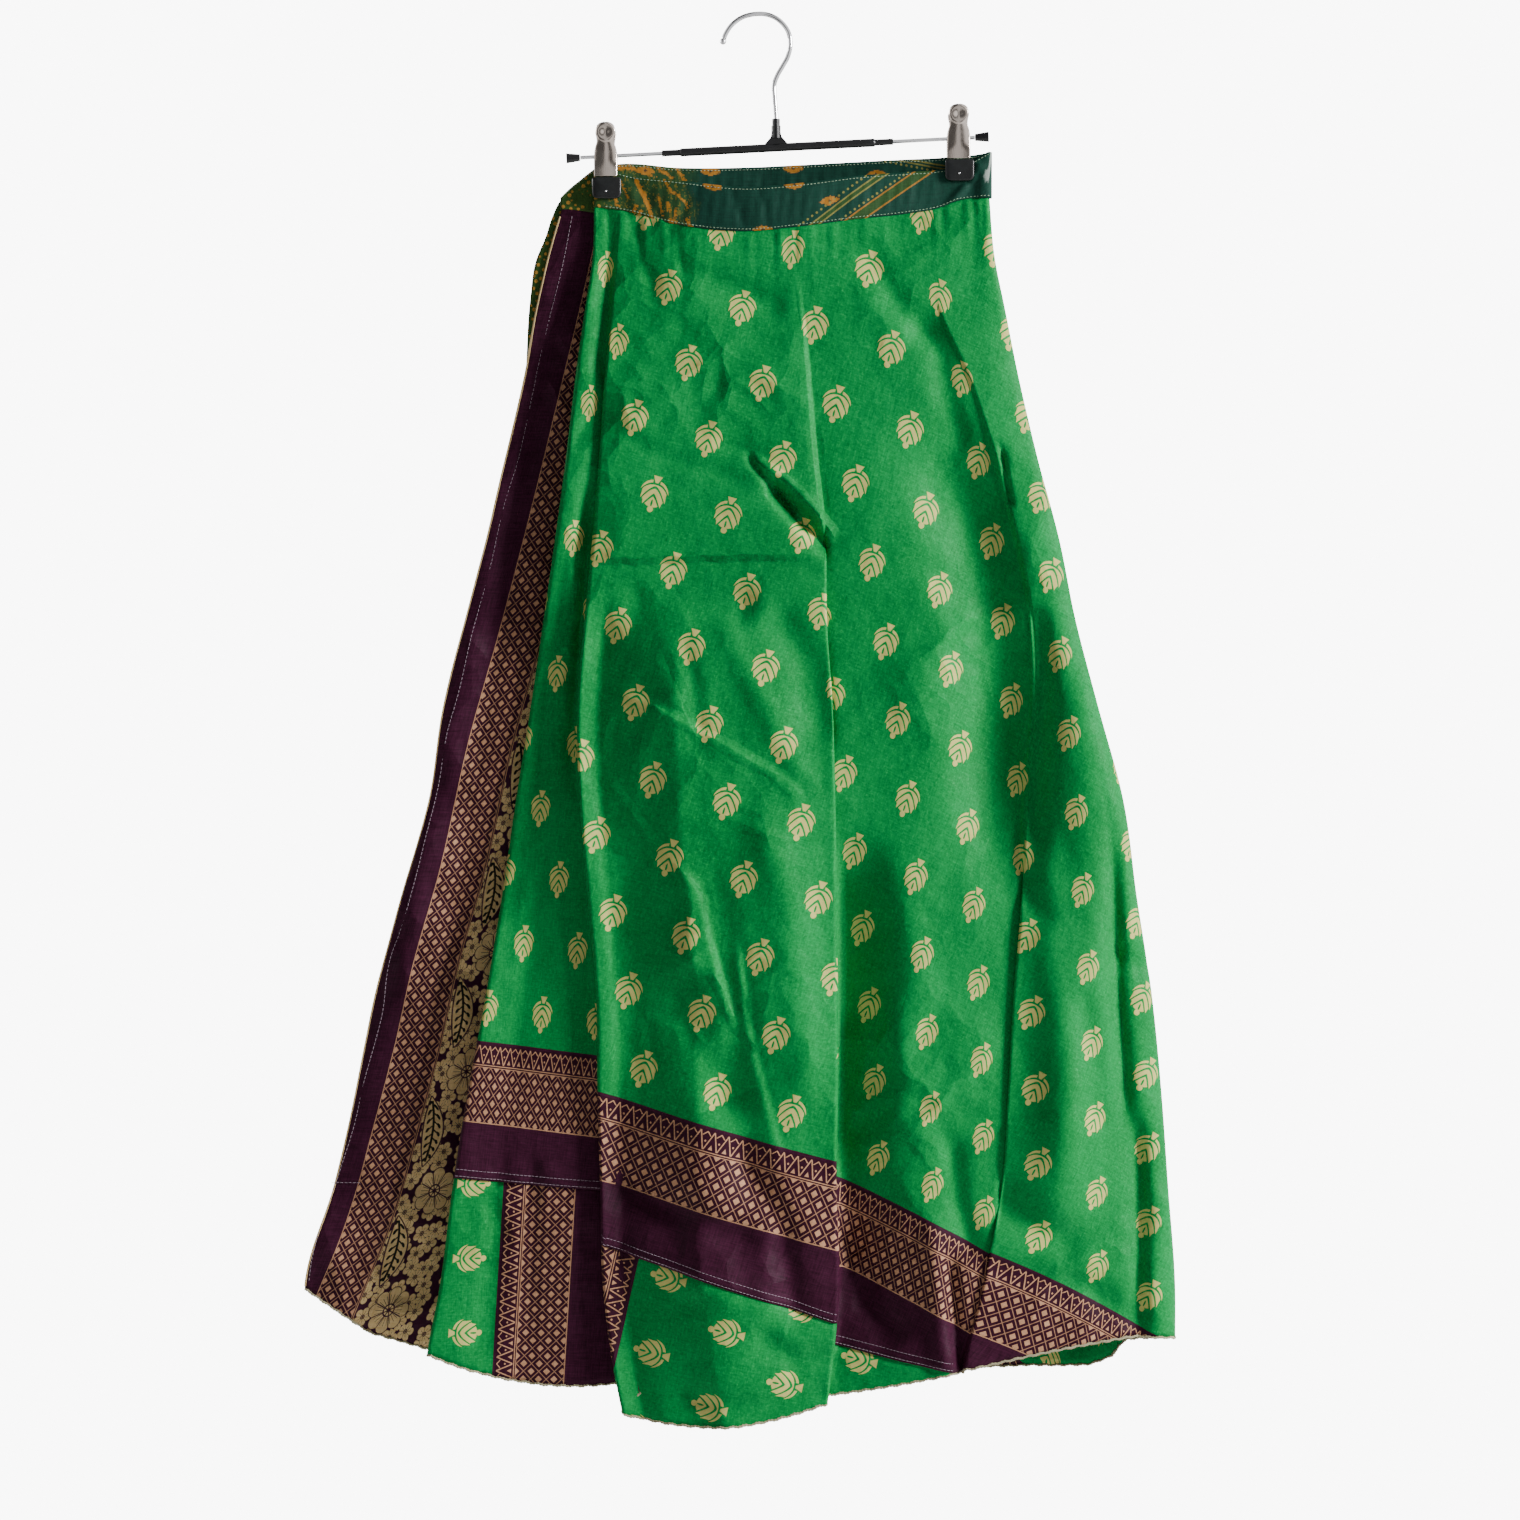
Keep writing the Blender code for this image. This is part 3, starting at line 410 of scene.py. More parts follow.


# fold lines on the front: from a point (x, depth) to another, and how high each stands
foldLines = (
    ((-130, 395), (28, 391), 1.2), ((-130, 400), (26, 396), -1.0), ((-81, 498), (-44, 519), 0.7),
    ((-44, 519), (15, 552), 0.8), ((-114, 549), (-76, 601), 0.7), ((-76, 601), (-41, 634), 0.6),
    ((-112, 607), (-78, 614), -0.6), ((-107, 505), (-115, 536), 0.5), ((-71, 461), (-54, 503), -0.5),
    ((-29, 580), (22, 598), 0.5), ((-34, 691), (-17, 729), 0.9), ((-17, 729), (0, 748), 0.8),
    ((-81, 727), (-74, 789), -0.5), ((-6, 321), (26, 346), 1.5), ((26, 346), (54, 379), 1.5),
    ((8, 344), (25, 365), -1.8), ((25, 365), (48, 387), -1.8), ((25, 195), (37, 290), -0.35),
    ((37, 290), (46, 372), -0.45), ((-100, 660), (-40, 690), 0.5), ((-60, 800), (10, 770), -0.5),
)


def folded(add):
    # each fold line is a tent, size (1 - distance / 6 mm), along a straight line that noise bends a little
    place = add("TexCoord").outputs[3]
    x, y, z = add("SeparateXYZ", place).outputs
    bent = add("MULTIPLY_ADD", add("TexNoise", {"Vector": place, "Scale": 45.0, "Detail": 2.0}), 6.0, -3.0)
    tents = []
    for (ax, ad), (bx, bd), size in foldLines:
        length = math.hypot(bx - ax, bd - ad)
        ux, ud = (bx - ax) / length, (bd - ad) / length
        along = add("MULTIPLY_ADD", z, -ud / length / mm, -(ax * ux + ad * ud) / length - 0.5)
        along = add("ABSOLUTE", add("MULTIPLY_ADD", x, ux / length / mm, along))
        side = add("MULTIPLY_ADD", z, ux / mm, ad * ux - ax * ud)
        side = add("ADD", add("MULTIPLY_ADD", x, ud / mm, side), bent)
        tent = add("MapRange", add("ABSOLUTE", side), 6.0, 0.0, 0.0, 1.7 * size)
        tents.append(add("MULTIPLY", tent, add("MapRange", along, 0.55, 0.35, 0.0, 1.0)))
    return add("MULTIPLY", reduce(partial(add, "ADD"), tents), add("LESS_THAN", y, -0.004))


vine = {"start": 16.4, "pitch": 90.0, "rosettes": 0.078, "flower": (29.0, -16.0), "petals": (13.0, 5.0),
        "spray": -61.0, "frame": (9.5, 27.0), "leafPitch": 6.2}


def rosettes(add, s, w):
    # small flowers round scattered points: five lobes with the rim 4.2 + 3 |cos(2.5 turn)|^0.6, rays and a heart
    spot = add("CombineXYZ", w, s, 0.0)
    scale = vine["rosettes"]
    cells = add("TexVoronoi", {"Vector": spot, "Scale": scale, "Randomness": 0.75},
                feature="F1", voronoi_dimensions="2D")
    away = add("VectorMath:SUBTRACT", add("VectorMath:SCALE", {"Vector": spot, "Scale": scale}),
               add("VectorMath:SCALE", {"Vector": cells.outputs[2], "Scale": scale}))
    ax, ay, _ = add("SeparateXYZ", away).outputs
    small = add("DIVIDE", add("VectorMath:LENGTH", away).outputs[1], scale)
    turn = add("ARCTAN2", ay, ax)
    lobes = add("ABSOLUTE", add("COSINE", add("MULTIPLY", turn, 2.5)))
    rim = add("MULTIPLY_ADD", add("POWER", lobes, 0.6), 3.0, 4.2)
    between = add("MapRange", add("SUBTRACT", small, rim), -0.2, 0.3, 0.0, 1.0)
    rays = add("ABSOLUTE", add("SINE", add("MULTIPLY", turn, 5.0)))
    rays = add("MapRange", add("MULTIPLY", rays, small), 0.9, 0.4, 0.0, 1.0)
    rays = add("MULTIPLY", rays, add("LESS_THAN", small, 4.6))
    return reduce(partial(add, "MAXIMUM"), (between, rays, lineAt(add, small, 1.5, 0.5, 0.2)))


def largeFlower(add, s, w):
    # a flower of eight petals in each pitch, its rim at 13 + 5 |cos(4 turn)|^0.5, with lines between and on the
    # petals and a ring round its heart; and where it covers the rosettes
    half = vine["pitch"] / 2.0
    fy = add("WRAP", add("SUBTRACT", s, vine["flower"][1]), half, -half)
    fx = add("SUBTRACT", w, vine["flower"][0])
    big = add("SQRT", squares(add, fx, fy))
    turn = add("ARCTAN2", fy, fx)
    petal = add("ABSOLUTE", add("COSINE", add("MULTIPLY", turn, 4.0)))
    inner, reach = vine["petals"]
    rim = add("MULTIPLY_ADD", add("POWER", petal, 0.5), reach, inner)
    parting = add("MapRange", add("MULTIPLY", petal, big), 2.2, 1.2, 0.0, 1.0)
    veins = add("ABSOLUTE", add("SINE", add("MULTIPLY", turn, 12.0)))
    veins = add("MapRange", add("MULTIPLY", veins, big), 2.6, 1.6, 0.0, 1.0)
    veins = add("MULTIPLY", veins, add("MULTIPLY", add("LESS_THAN", big, 12.0), add("GREATER_THAN", big, 5.5)))
    marks = (lineAt(add, big, rim, 1.0, 0.5), parting, veins, lineAt(add, big, 4.6, 0.8, 0.4))
    return reduce(partial(add, "MAXIMUM"), marks), add("LESS_THAN", big, rim)


def leafySpray(add, s, w):
    # a spray in each pitch: a spine bent as a parabola, slanting stalks on both sides with a round lobe on each, in a
    # frame that narrows as 9.5 (1 - (y / 27)^2)
    half, leafHalf = vine["pitch"] / 2.0, vine["leafPitch"] / 2.0
    y = add("WRAP", add("SUBTRACT", s, vine["spray"]), half, -half)
    spine = add("MULTIPLY_ADD", add("POWER", add("DIVIDE", y, 26.0), 2.0), -5.0, add("MULTIPLY_ADD", y, 0.16, 13.0))
    off = add("SUBTRACT", w, spine)
    side = add("ABSOLUTE", off)
    wide, tall = vine["frame"]
    span = add("MULTIPLY_ADD", add("POWER", add("DIVIDE", y, tall), 2.0), -wide, wide)
    frameLine = add("MULTIPLY", lineAt(add, side, span, 0.9, 0.4), add("GREATER_THAN", span, 0.0))
    framed = add("LESS_THAN", side, span)
    slanted = add("MULTIPLY_ADD", side, -0.7, add("MULTIPLY_ADD", add("SIGN", off), 1.6, y))
    stalkOff = add("WRAP", slanted, leafHalf, -leafHalf)
    reach = add("MULTIPLY", span, 0.55)
    stalk = add("MapRange", add("ABSOLUTE", stalkOff), 0.9, 0.5, 0.0, 1.0)
    stalk = add("MULTIPLY", stalk, add("LESS_THAN", side, reach))
    lobe = add("MapRange", squares(add, add("SUBTRACT", side, reach), stalkOff), 2.9, 2.0, 0.0, 1.0)
    spray = reduce(partial(add, "MAXIMUM"), (stalk, lobe, add("MapRange", side, 1.2, 0.8, 0.0, 1.0)))
    spray = add("MULTIPLY", spray, add("MULTIPLY", framed, add("LESS_THAN", add("ABSOLUTE", y), 23.0)))
    return spray, frameLine, framed


silk = {
    "pitch": 0.9, "slub": 0.16, "green": ("#007E38", "#00A252"), "shadedGreen": "#006E2C",
    "lightPicks": "#22B05C", "darkPicks": "#006427", "plum": ("#27101C", "#4C2039"), "latticePlum": "#2A0E16",
    "thread": ("#B2805F", "#D8A784"), "gold": ("#BDB45E", "#E9E28E"), "brocade": ("#C9A56C", "#EED29C"),
    "drawing": "#3A1A2C", "leaves": "#1B1B14",
}


def sariSilk(name, pallu):
    # handloom sari silk, satin woven with slubs: the bright green face, matt gold weft for the sprigs, and a plum
    # border with pink threads; the sari's end has a gold brocade beyond the border's lattice
    material, add = newMaterial(name)
    s, v = clothPlace(add)
    crossed, grain = weave(add, s, v, silk["pitch"], silk["slub"])
    place = add("CombineXYZ", s, v, 0.0)
    picks = [add("TexNoise", {"Vector": add("VectorMath:MULTIPLY", place, stretch), "Scale": 1.0, "Detail": 2.0,
                              "Roughness": 0.7}) for stretch in ((0.3, 0.75, 1.0), (0.8, 0.26, 1.0))]
    fine = add("MULTIPLY", add("ADD", *picks), 0.5)
    cloudy = add("TexNoise", {"Vector": add("TexCoord").outputs[3], "Scale": 14.0, "Detail": 3.0, "Roughness": 0.6})
    green = add("MixRGB", grain, *map(linear, silk["green"]))
    green = add("MixRGB", add("MapRange", cloudy, 0.35, 0.7, 0.0, 0.35), green, linear(silk["shadedGreen"]))
    green = add("MixRGB", add("MapRange", fine, 0.52, 0.66, 0.0, 0.7), green, linear(silk["lightPicks"]))
    green = add("MixRGB", add("MapRange", fine, 0.48, 0.36, 0.0, 0.5), green, linear(silk["darkPicks"]))
    plum = add("MixRGB", grain, *map(linear, silk["plum"]))
    thread = add("MixRGB", grain, *map(linear, silk["thread"]))
    rib = add("SINE", add("MULTIPLY", add("ADD", s, v), 5.2))
    gold = add("MixRGB", add("MapRange", rib, -0.6, 0.8, 0.3, 0.8), *map(linear, silk["gold"]))
    threads = borderMask(add, s, v, zigzag=not pallu)
    inLattice = add("MULTIPLY", add("GREATER_THAN", v, 2.0), add("LESS_THAN", v, 58.4))
    plum = add("MixRGB", add("MULTIPLY", inLattice, 0.5), plum, linear(silk["latticePlum"]))
    base = add("MixRGB", threads, plum, thread)
    raised = threads
    if pallu:
        w = add("SUBTRACT", vine["start"], v)  # how far beyond the lattice
        flower, inside = largeFlower(add, s, w)
        spray, frameLine, framed = leafySpray(add, s, w)
        drawn = add("MixRGB", inside, rosettes(add, s, w), flower)
        drawn = add("MAXIMUM", add("MULTIPLY", drawn, add("SUBTRACT", 1.0, framed)), frameLine)
        brocade = add("MixRGB", grain, *map(linear, silk["brocade"]))
        brocade = add("MixRGB", drawn, brocade, linear(silk["drawing"]))
        brocade = add("MixRGB", spray, brocade, linear(silk["leaves"]))
        base = add("MixRGB", add("LESS_THAN", v, vine["start"] - 0.1), base, brocade)
    else:
        sprig = sprigMask(add, s, v)
        base = add("MixRGB", add("GREATER_THAN", v, 0.0), add("MixRGB", sprig, green, gold), base)
        raised = add("MAXIMUM", threads, sprig)
    height = add("MULTIPLY_ADD", crossed, 0.45, add("MULTIPLY", grain, 0.5))
    height = add("MULTIPLY_ADD", raised, 0.5, height)
    normal = crumpled(add)
    if not pallu:
        normal = add("Bump", {"Strength": 1.0, "Distance": mm, "Height": folded(add), "Normal": normal})
    normal = add("Bump", {"Strength": 0.35, "Distance": 0.00035, "Height": height, "Normal": normal})
    rough = add("MapRange", raised, 0.0, 1.0, 0.46, 0.6)
    tint = add("MixRGB", 0.15, base, (1.0, 1.0, 1.0, 1.0))
    shade(add, base, normal, Roughness=rough, Specular_Tint=tint, Specular_IOR_Level=0.22, IOR=1.5)
    return material


printed = {  # the waistband's print; a stripe's place is measured across its slant
    "pitch": 0.7, "slub": 0.2, "teal": ("#072C23", "#104838"), "olive": ("#24431C", "#3F5F26"),
    "gold": ("#A0681F", "#C98A34"), "pale": ("#7F7A3A", "#A39A50"), "eye": "#12332E", "marks": "#77702C",
    "spots": "#C2923F", "motif": "#AEBBB2", "flowerHalf": (7.2, 3.3),
    "flowers": ((-36.3, 62.0), (24.0, 62.0), (84.2, 69.5), (-35.0, 1.0), (24.5, 0.5), (50.0, 15.0), (1.5, 31.0),
                (-84.0, 64.0)),
    "oliveStripes": ((45.6, 48.8), (59.4, 66.4)), "goldLines": (59.0, 66.6), "paleLines": (45.3, 49.0),
    "dots": (41.0, 56.5), "backLines": (36.3, 33.9), "backDots": (38.8,),
    "strokes": (((-90, 3), (-86, 10), 1.4), ((-86, 10), (-81, 21), 1.5), ((-81, 21), (-78, 31), 1.0),
                ((-90, 21), (-93, 28), 0.9), ((-87, 24), (-89, 31), 0.6), ((-69.5, 0.5), (-65, 8), 0.6),
                ((-65, 8), (-57, 12.5), 0.7), ((-57, 12.5), (-52, 19), 0.6), ((-67, 17), (-66.5, 22), 1.0),
                ((-65.5, 29), (-63, 33), 1.3), ((-53, 27.5), (-50.5, 33), 1.2), ((-61.5, 21), (-62.5, 29), 0.5),
                ((-103, 62), (-92, 63), 1.2), ((-75, 61.5), (-68, 64.5), 1.0), ((-68, 64.5), (-64.5, 68), 0.8),
                ((-60.5, 60.5), (-55, 70), 0.8), ((-89.5, 65), (-77, 68), 0.4), ((-101, 6), (-96, 16), 0.5),
                ((-74, 12), (-71, 26), 0.4), ((-100, 80), (-94, 90), 0.8), ((-82, 76), (-76, 88), 0.8),
                ((-64, 78), (-66, 90), 1.0), ((-109, 10), (-104, 24), 0.8)),
}


def bandCotton():
    # printed sari cotton-silk, plain woven: fairly matt, teal with ikat flowers, stripes, dots and ragged strokes
    material, add = newMaterial("printed_band_cotton")
    s, v = clothPlace(add)
    crossed, grain = weave(add, s, v, printed["pitch"], printed["slub"])
    place = add("CombineXYZ", s, v, 0.0)
    snapped = add("VectorMath:SNAP", place, (0.9, 0.9, 0.9))  # the print's edges step from thread to thread
    ragged = add("TexNoise", {"Vector": snapped, "Scale": 0.55, "Detail": 3.0, "Roughness": 0.7})
    shift = add("VectorMath:SUBTRACT", ragged.outputs[1], (0.5, 0.5, 0.5))
    moved = add("VectorMath:ADD", snapped, add("VectorMath:SCALE", {"Vector": shift, "Scale": 4.0}))
    teal, olive, gold, pale = (add("MixRGB", grain, *map(linear, printed[tone]))
                               for tone in ("teal", "olive", "gold", "pale"))
    zone = add("TexNoise", {"Vector": place, "Scale": 0.05, "Detail": 2.0})
    leftZone = add("MapRange", add("MULTIPLY_ADD", zone, 30.0, s), -28.0, -44.0, 0.0, 1.0)
    farLeft = add("MapRange", s, -112.0, -116.0, 0.0, 1.0)
    base = add("MixRGB", add("MULTIPLY", leftZone, 0.6), teal, olive)
    base = add("MixRGB", farLeft, base, olive)
    # fine upright olive marks between the strokes
    upright = add("VectorMath:MULTIPLY", moved, (0.5, 0.16, 1.0))
    marks = add("TexNoise", {"Vector": upright, "Scale": 1.0, "Detail": 2.0})
    marks = add("MULTIPLY", add("MapRange", marks, 0.56, 0.62, 0.0, 0.75), add("SUBTRACT", leftZone, farLeft))
    base = add("MixRGB", marks, base, linear(printed["marks"]))
    # ikat flowers: the nearest of a few ovals |x / half| + |y / half|^1.7 = 1 with a dark eye
    ovals = []
    for fx, fy in printed["flowers"]:
        away = add("VectorMath:ABSOLUTE", add("VectorMath:SUBTRACT", moved, (fx, fy, 0.0)))
        ax, ay, _ = add("SeparateXYZ", away).outputs
        tall = add("POWER", add("DIVIDE", ay, printed["flowerHalf"][1]), 1.7)
        ovals.append(add("ADD", add("DIVIDE", ax, printed["flowerHalf"][0]), tall))
    nearest = reduce(partial(add, "MINIMUM"), ovals)
    base = add("MixRGB", add("MapRange", nearest, 1.08, 0.92, 0.0, 1.0), base, gold)
    base = add("MixRGB", add("MapRange", nearest, 0.2, 0.12, 0.0, 0.9), base, linear(printed["eye"]))
    # slanting stripes with rows of dots at the right, and on the back stretch ones that fall to the right
    slant = add("ADD", add("MULTIPLY", s, 0.527), add("MULTIPLY", v, 0.85))
    lengthwise = add("SUBTRACT", add("MULTIPLY", s, 0.85), add("MULTIPLY", v, 0.527))
    fall = add("MULTIPLY_ADD", s, -0.24, v)
    beforeClip = add("LESS_THAN", s, 139.0)
    front = add("MULTIPLY", add("GREATER_THAN", s, 22.0), add("MULTIPLY", beforeClip, add("LESS_THAN", v, 50.0)))
    behind = add("MULTIPLY", add("GREATER_THAN", v, 50.0), add("MULTIPLY", add("GREATER_THAN", s, 88.0), beforeClip))
    for low, high in printed["oliveStripes"]:
        inside = add("MULTIPLY", add("MapRange", slant, low - 0.4, low + 0.4, 0.0, 0.75),
                     add("MapRange", slant, high + 0.4, high - 0.4, 0.0, 1.0))
        base = add("MixRGB", add("MULTIPLY", inside, front), base, olive)
    for across, along, where, tone, rows, dots in (
            (slant, lengthwise, front, gold, printed["goldLines"], ()),
            (slant, lengthwise, front, pale, printed["paleLines"], printed["dots"]),
            (fall, s, behind, pale, printed["backLines"], printed["backDots"])):
        for row in rows:
            base = add("MixRGB", add("MULTIPLY", lineAt(add, across, row, 0.75, 0.35, 0.85), where), base, tone)
        for row in dots:
            dot = squares(add, add("WRAP", along, 1.9, -1.9), add("SUBTRACT", across, row))
            base = add("MixRGB", add("MULTIPLY", add("MapRange", dot, 0.95, 0.5, 0.0, 0.9), where), base, tone)
    # torn-looking gold strokes at the left: the distance to each stroke less its half width
    strokes = []
    for (ax, ay), (bx, by), half in printed["strokes"]:
        span = (bx - ax, by - ay, 0.0)
        start = add("VectorMath:SUBTRACT", moved, (ax, ay, 0.0))
        part = add("VectorMath:DOT_PRODUCT", start, tuple(c / (span[0] ** 2 + span[1] ** 2) for c in span)).outputs[1]
        on = add("VectorMath:SCALE", {"Vector": span, "Scale": add("Clamp", part)})
        away = add("VectorMath:LENGTH", add("VectorMath:SUBTRACT", start, on)).outputs[1]
        strokes.append(add("SUBTRACT", away, half))
    torn = add("ADD", reduce(partial(add, "MINIMUM"), strokes), add("MULTIPLY_ADD", ragged, 5.0, -2.6))
    base = add("MixRGB", add("MapRange", torn, 0.45, -0.1, 0.0, 1.0), base, gold)
    # round spots on the drooping end, and a pale ragged motif at the far right
    turned = add("VectorRotate", {"Vector": place, "Angle": 0.6}, rotation_type="Z_AXIS")
    spots = add("TexVoronoi", {"Vector": add("VectorMath:MULTIPLY", turned, (0.23, 0.23, 1.0)), "Scale": 1.0,
                               "Randomness": 0.45}, feature="F1")
    spots = add("MULTIPLY", add("MapRange", spots, 0.36, 0.28, 0.0, 1.0), farLeft)
    base = add("MixRGB", spots, base, linear(printed["spots"]))
    away = add("VectorMath:SUBTRACT", moved, (166.5, 16.0, 0.5))
    away = add("VectorMath:LENGTH", add("VectorMath:MULTIPLY", away, (1.0 / 4.6, 1.0 / 5.6, 0.0))).outputs[1]
    base = add("MixRGB", add("MapRange", away, 1.1, 0.8, 0.0, 0.85), base, linear(printed["motif"]))
    height = add("MULTIPLY_ADD", crossed, 0.6, add("MULTIPLY", grain, 0.5))
    crumple = add("TexNoise", {"Vector": add("TexCoord").outputs[3], "Scale": 90.0, "Detail": 3.0})
    normal = add("Bump", {"Strength": 0.4, "Distance": 0.002, "Height": crumple})
    normal = add("Bump", {"Strength": 0.35, "Distance": 0.0003, "Height": height, "Normal": normal})
    shade(add, base, normal, Roughness=0.62, Specular_IOR_Level=0.18, IOR=1.5)
    return material


def sewingThread(name, dark, light):
    # spun polyester thread: matt, with the twist as fine slanting ribs
    material, add = newMaterial(name)
    place = add("TexCoord").outputs[3]
    turned = add("Mapping", {"Vector": place, "Rotation": (0.5, 0.6, 0.7)})
    twist = add("TexWave", {"Vector": turned, "Scale": 400.0, "Distortion": 2.0})
    tone = add("TexNoise", {"Vector": place, "Scale": 120.0, "Detail": 2.0})
    colour = add("MixRGB", tone, linear(dark), linear(light))
    normal = add("Bump", {"Strength": 0.5, "Distance": 0.0002, "Height": twist})
    shade(add, colour, normal, Roughness=0.75, Sheen_Weight=0.3)
    return material


def platedSteel(name, dark, light, roughness, brush):
    # nickel-chromed steel: mirror-like wire, satin stampings with fine upright brushing, drawn 0.7 mm apart to show
    material, add = newMaterial(name)
    place = add("TexCoord").outputs[3]
    stretched = add("VectorMath:MULTIPLY", place, (1500.0, 1500.0, 60.0))
    streak = add("TexNoise", {"Vector": stretched, "Scale": 1.0, "Detail": 2.0})
    wear = add("TexNoise", {"Vector": place, "Scale": 70.0, "Detail": 4.0, "Roughness": 0.65})
    colour = add("MixRGB", wear, linear(dark), linear(light))
    rough = add("MapRange", wear, 0.35, 0.75, roughness * 0.7, roughness * 1.5)
    normal = add("Bump", {"Strength": brush, "Distance": 0.00008, "Height": streak})
    shade(add, colour, normal, Metallic=1.0, Roughness=rough)
    return material


def mouldedBlack(name, dark, light, roughness, grain):
    # moulded black plastic or dipped rubber: a soft gloss, faint grain and dusty high spots
    material, add = newMaterial(name)
    place = add("TexCoord").outputs[3]
    pit = add("TexNoise", {"Vector": place, "Scale": grain, "Detail": 3.0})
    dust = add("TexNoise", {"Vector": place, "Scale": 60.0, "Detail": 4.0, "Roughness": 0.7})
    colour = add("MixRGB", add("MapRange", dust, 0.45, 0.8, 0.0, 1.0), linear(dark), linear(light))
    rough = add("MapRange", dust, 0.3, 0.8, roughness * 0.85, roughness * 1.25)
    normal = add("Bump", {"Strength": 0.25, "Distance": 0.0001, "Height": pit})
    shade(add, colour, normal, Roughness=rough, IOR=1.5)
    return material


greenSilk = sariSilk("woven_sari_silk", pallu=False)
plumSilk = sariSilk("plum_brocade_silk", pallu=True)
cotton = bandCotton()
creamThread = sewingThread("cream_overlock_thread", "#8F8766", "#C9BF98")
paleThread = sewingThread("pale_sewing_thread", "#7FA582", "#B9D2B2")
pinkThread = sewingThread("mauve_sewing_thread", "#8E7488", "#C2AEBC")
wireChrome = platedSteel("chromed_wire", "#C9C9CC", "#F2F2F4", 0.09, 0.1)
clipSteel = platedSteel("satin_plated_steel", "#A2948A", "#D9CFC6", 0.16, 0.2)
blackPlastic = mouldedBlack("moulded_black_plastic", "#0B0B0E", "#1D1E22", 0.32, 900.0)
blackRubber = mouldedBlack("dipped_black_rubber", "#060809", "#161A1C", 0.3, 1400.0)
print("materials made")

